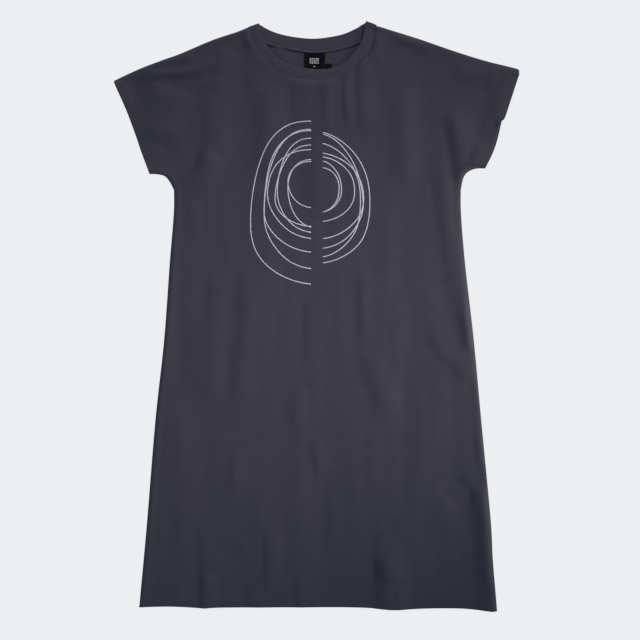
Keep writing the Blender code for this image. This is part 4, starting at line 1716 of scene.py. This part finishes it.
@dataclass
class Studio:
    """A pale floor, soft light mostly from the right, and a camera straight above."""

    view_width: float = 1.0312     # metres across the view, at the floor
    centre: tuple[float, float] = (0.0052, -0.0058)
    lens: float = 85.0
    sensor: float = 36.0
    floor_size: float = 60.0
    sky: float = 0.37
    sky_colour: str = "D9F0FF"
    backdrop_colour: str = "EDEFF3"    # what shows past the floor
    floor_gap: float = 0.05        # millimetres between the floor and the cloth
    lights: tuple[SoftLight, ...] = (
        SoftLight("key", (2.55, 0.34, 1.05), 0.5, 362.0, "FFEBDF", (0.19, -0.03, 0.0), 22.5),
        SoftLight("top", (0.9, 2.3, 1.05), 0.6, 141.0, "FFD6D2", (-0.06, 0.31, 0.0), 25.0))

    def build(self, paper: bpy.types.Material, lit: bpy.types.Collection) -> None:
        """Makes the camera, floor and lights.

        Args:
            paper: the floor's finish.
            lit: the pieces of the dress, which the lights are for.
        """
        scene = bpy.context.scene
        camera = bpy.data.cameras.new("camera")
        camera.lens = self.lens
        camera.sensor_width = self.sensor
        view = bpy.data.objects.new("camera", camera)
        view.location = (*self.centre, self.view_width * self.lens / self.sensor)
        scene.collection.objects.link(view)
        scene.camera = view
        half = self.floor_size / 2
        mesh = bpy.data.meshes.new("floor")
        mesh.from_pydata([(-half, -half, 0), (half, -half, 0), (half, half, 0), (-half, half, 0)],
                         [], [(0, 1, 2, 3)])
        mesh.materials.append(paper)
        floor = bpy.data.objects.new("floor", mesh)
        floor.location.z = CAD_BOX[0][2] - self.floor_gap * MM
        scene.collection.objects.link(floor)
        world = bpy.data.worlds.new("pale_room")
        world.use_nodes = True
        tree = world.node_tree
        room = tree.nodes["Background"]
        room.inputs["Color"].default_value = linear(self.sky_colour)
        room.inputs["Strength"].default_value = self.sky
        backdrop = add_node(tree, "ShaderNodeBackground", {}, {
            "Color": linear(self.backdrop_colour), "Strength": 1.0})
        path = add_node(tree, "ShaderNodeLightPath")
        both = add_node(tree, "ShaderNodeMixShader", {}, {
            0: path.outputs["Is Camera Ray"], 1: room.outputs["Background"],
            2: backdrop.outputs["Background"]})
        tree.links.new(both.outputs["Shader"], tree.nodes["World Output"].inputs["Surface"])
        scene.world = world
        scene.view_settings.view_transform = "Standard"
        for light in self.lights:
            light.build(lit)


# ---- the whole dress -----------------------------------------------------------------------
TWIN_ROWS = (-2.6, 2.4)            # of hem and cuff stitches, from the turn-up's depth
NECK_ROW = 2.6                     # of the neck's stitches, outside its seam
NECK_STEP = 2.0
BACK_GRID = (7.0, 9.0)             # of the back panel's mesh, which hardly shows


def stitch_rows(cut: Cut, lie: Lie) -> dict[str, list[np.ndarray]]:
    """Centre lines of the stitching that shows on the front.

    Args:
        cut: the dress's outline.
        lie: its layers' sizes.

    Returns:
        For each piece of stitching, its rows.
    """
    # each row stops a few points short of the seams at its ends
    hem = cut.hem_edge()[2:-2]
    rows = {"hem_stitches": [hem + (0, lie.hem_depth + offset) for offset in TWIN_ROWS]}
    for side in Side:
        cuff = cut.cuff(side, Face.FRONT)
        inward = 1 if side is Side.RIGHT else -1
        rows[f"sleeve_stitches_{side.value}"] = [
            beside(cuff, inward * (lie.cuff_depth + offset))[1:-2] for offset in TWIN_ROWS]
    rows["neck_stitches"] = [beside(cut.neck_seam(Face.FRONT, NECK_STEP), -NECK_ROW)[3:-3]]
    return rows


def main() -> None:
    """Builds the studio and the dress and reports each piece."""
    Studio().build(PAPER.build(), garment())
    cut = Cut()
    lie = Lie(cut)
    jersey, rib, thread = JERSEY.build(), RIB.build(), THREAD.build()
    back_panel = Panel(Face.BACK, cut, lie, *BACK_GRID)
    front_panel = Panel(Face.FRONT, cut, lie)
    back, front = back_panel.build(jersey), front_panel.build(jersey)
    band, tape = Neckband(cut, lie).build(rib), NeckTape(cut, lie).build(rib)
    satin = SATIN.build()
    size_label = WovenLabel("label_size", "size_label", left=5.6, right=24.6, bottom=869,
                            top=882, level=1.1).build(satin)
    label = WovenLabel("label_main", "main_label", left=-19.8, right=13.2, bottom=863.2,
                       top=899.2, level=1.75)
    sewn_label, bars = label.build(satin), label.bars(WHITE_WEFT.build())
    tacks = Stitching(ClothTop(sewn_label), pitch=2.0, stitch=1.1, thread=0.4).build(
        "label_side_stitches", label.side_lines(), LABEL_THREAD.build())
    top = ClothTop(front)
    loops = Print(top).build(INK.build())
    stitching = Stitching(top)
    stitches = [stitching.build(name, lines, thread)
                for name, lines in stitch_rows(cut, lie).items()]
    back_panel.declare()
    front_panel.declare()
    for piece in (back, front, band, tape, size_label, sewn_label, bars, tacks, loops,
                  *stitches):
        log.info("%s: %d faces", piece.name, len(piece.data.polygons))


if __name__ == "__main__":
    main()
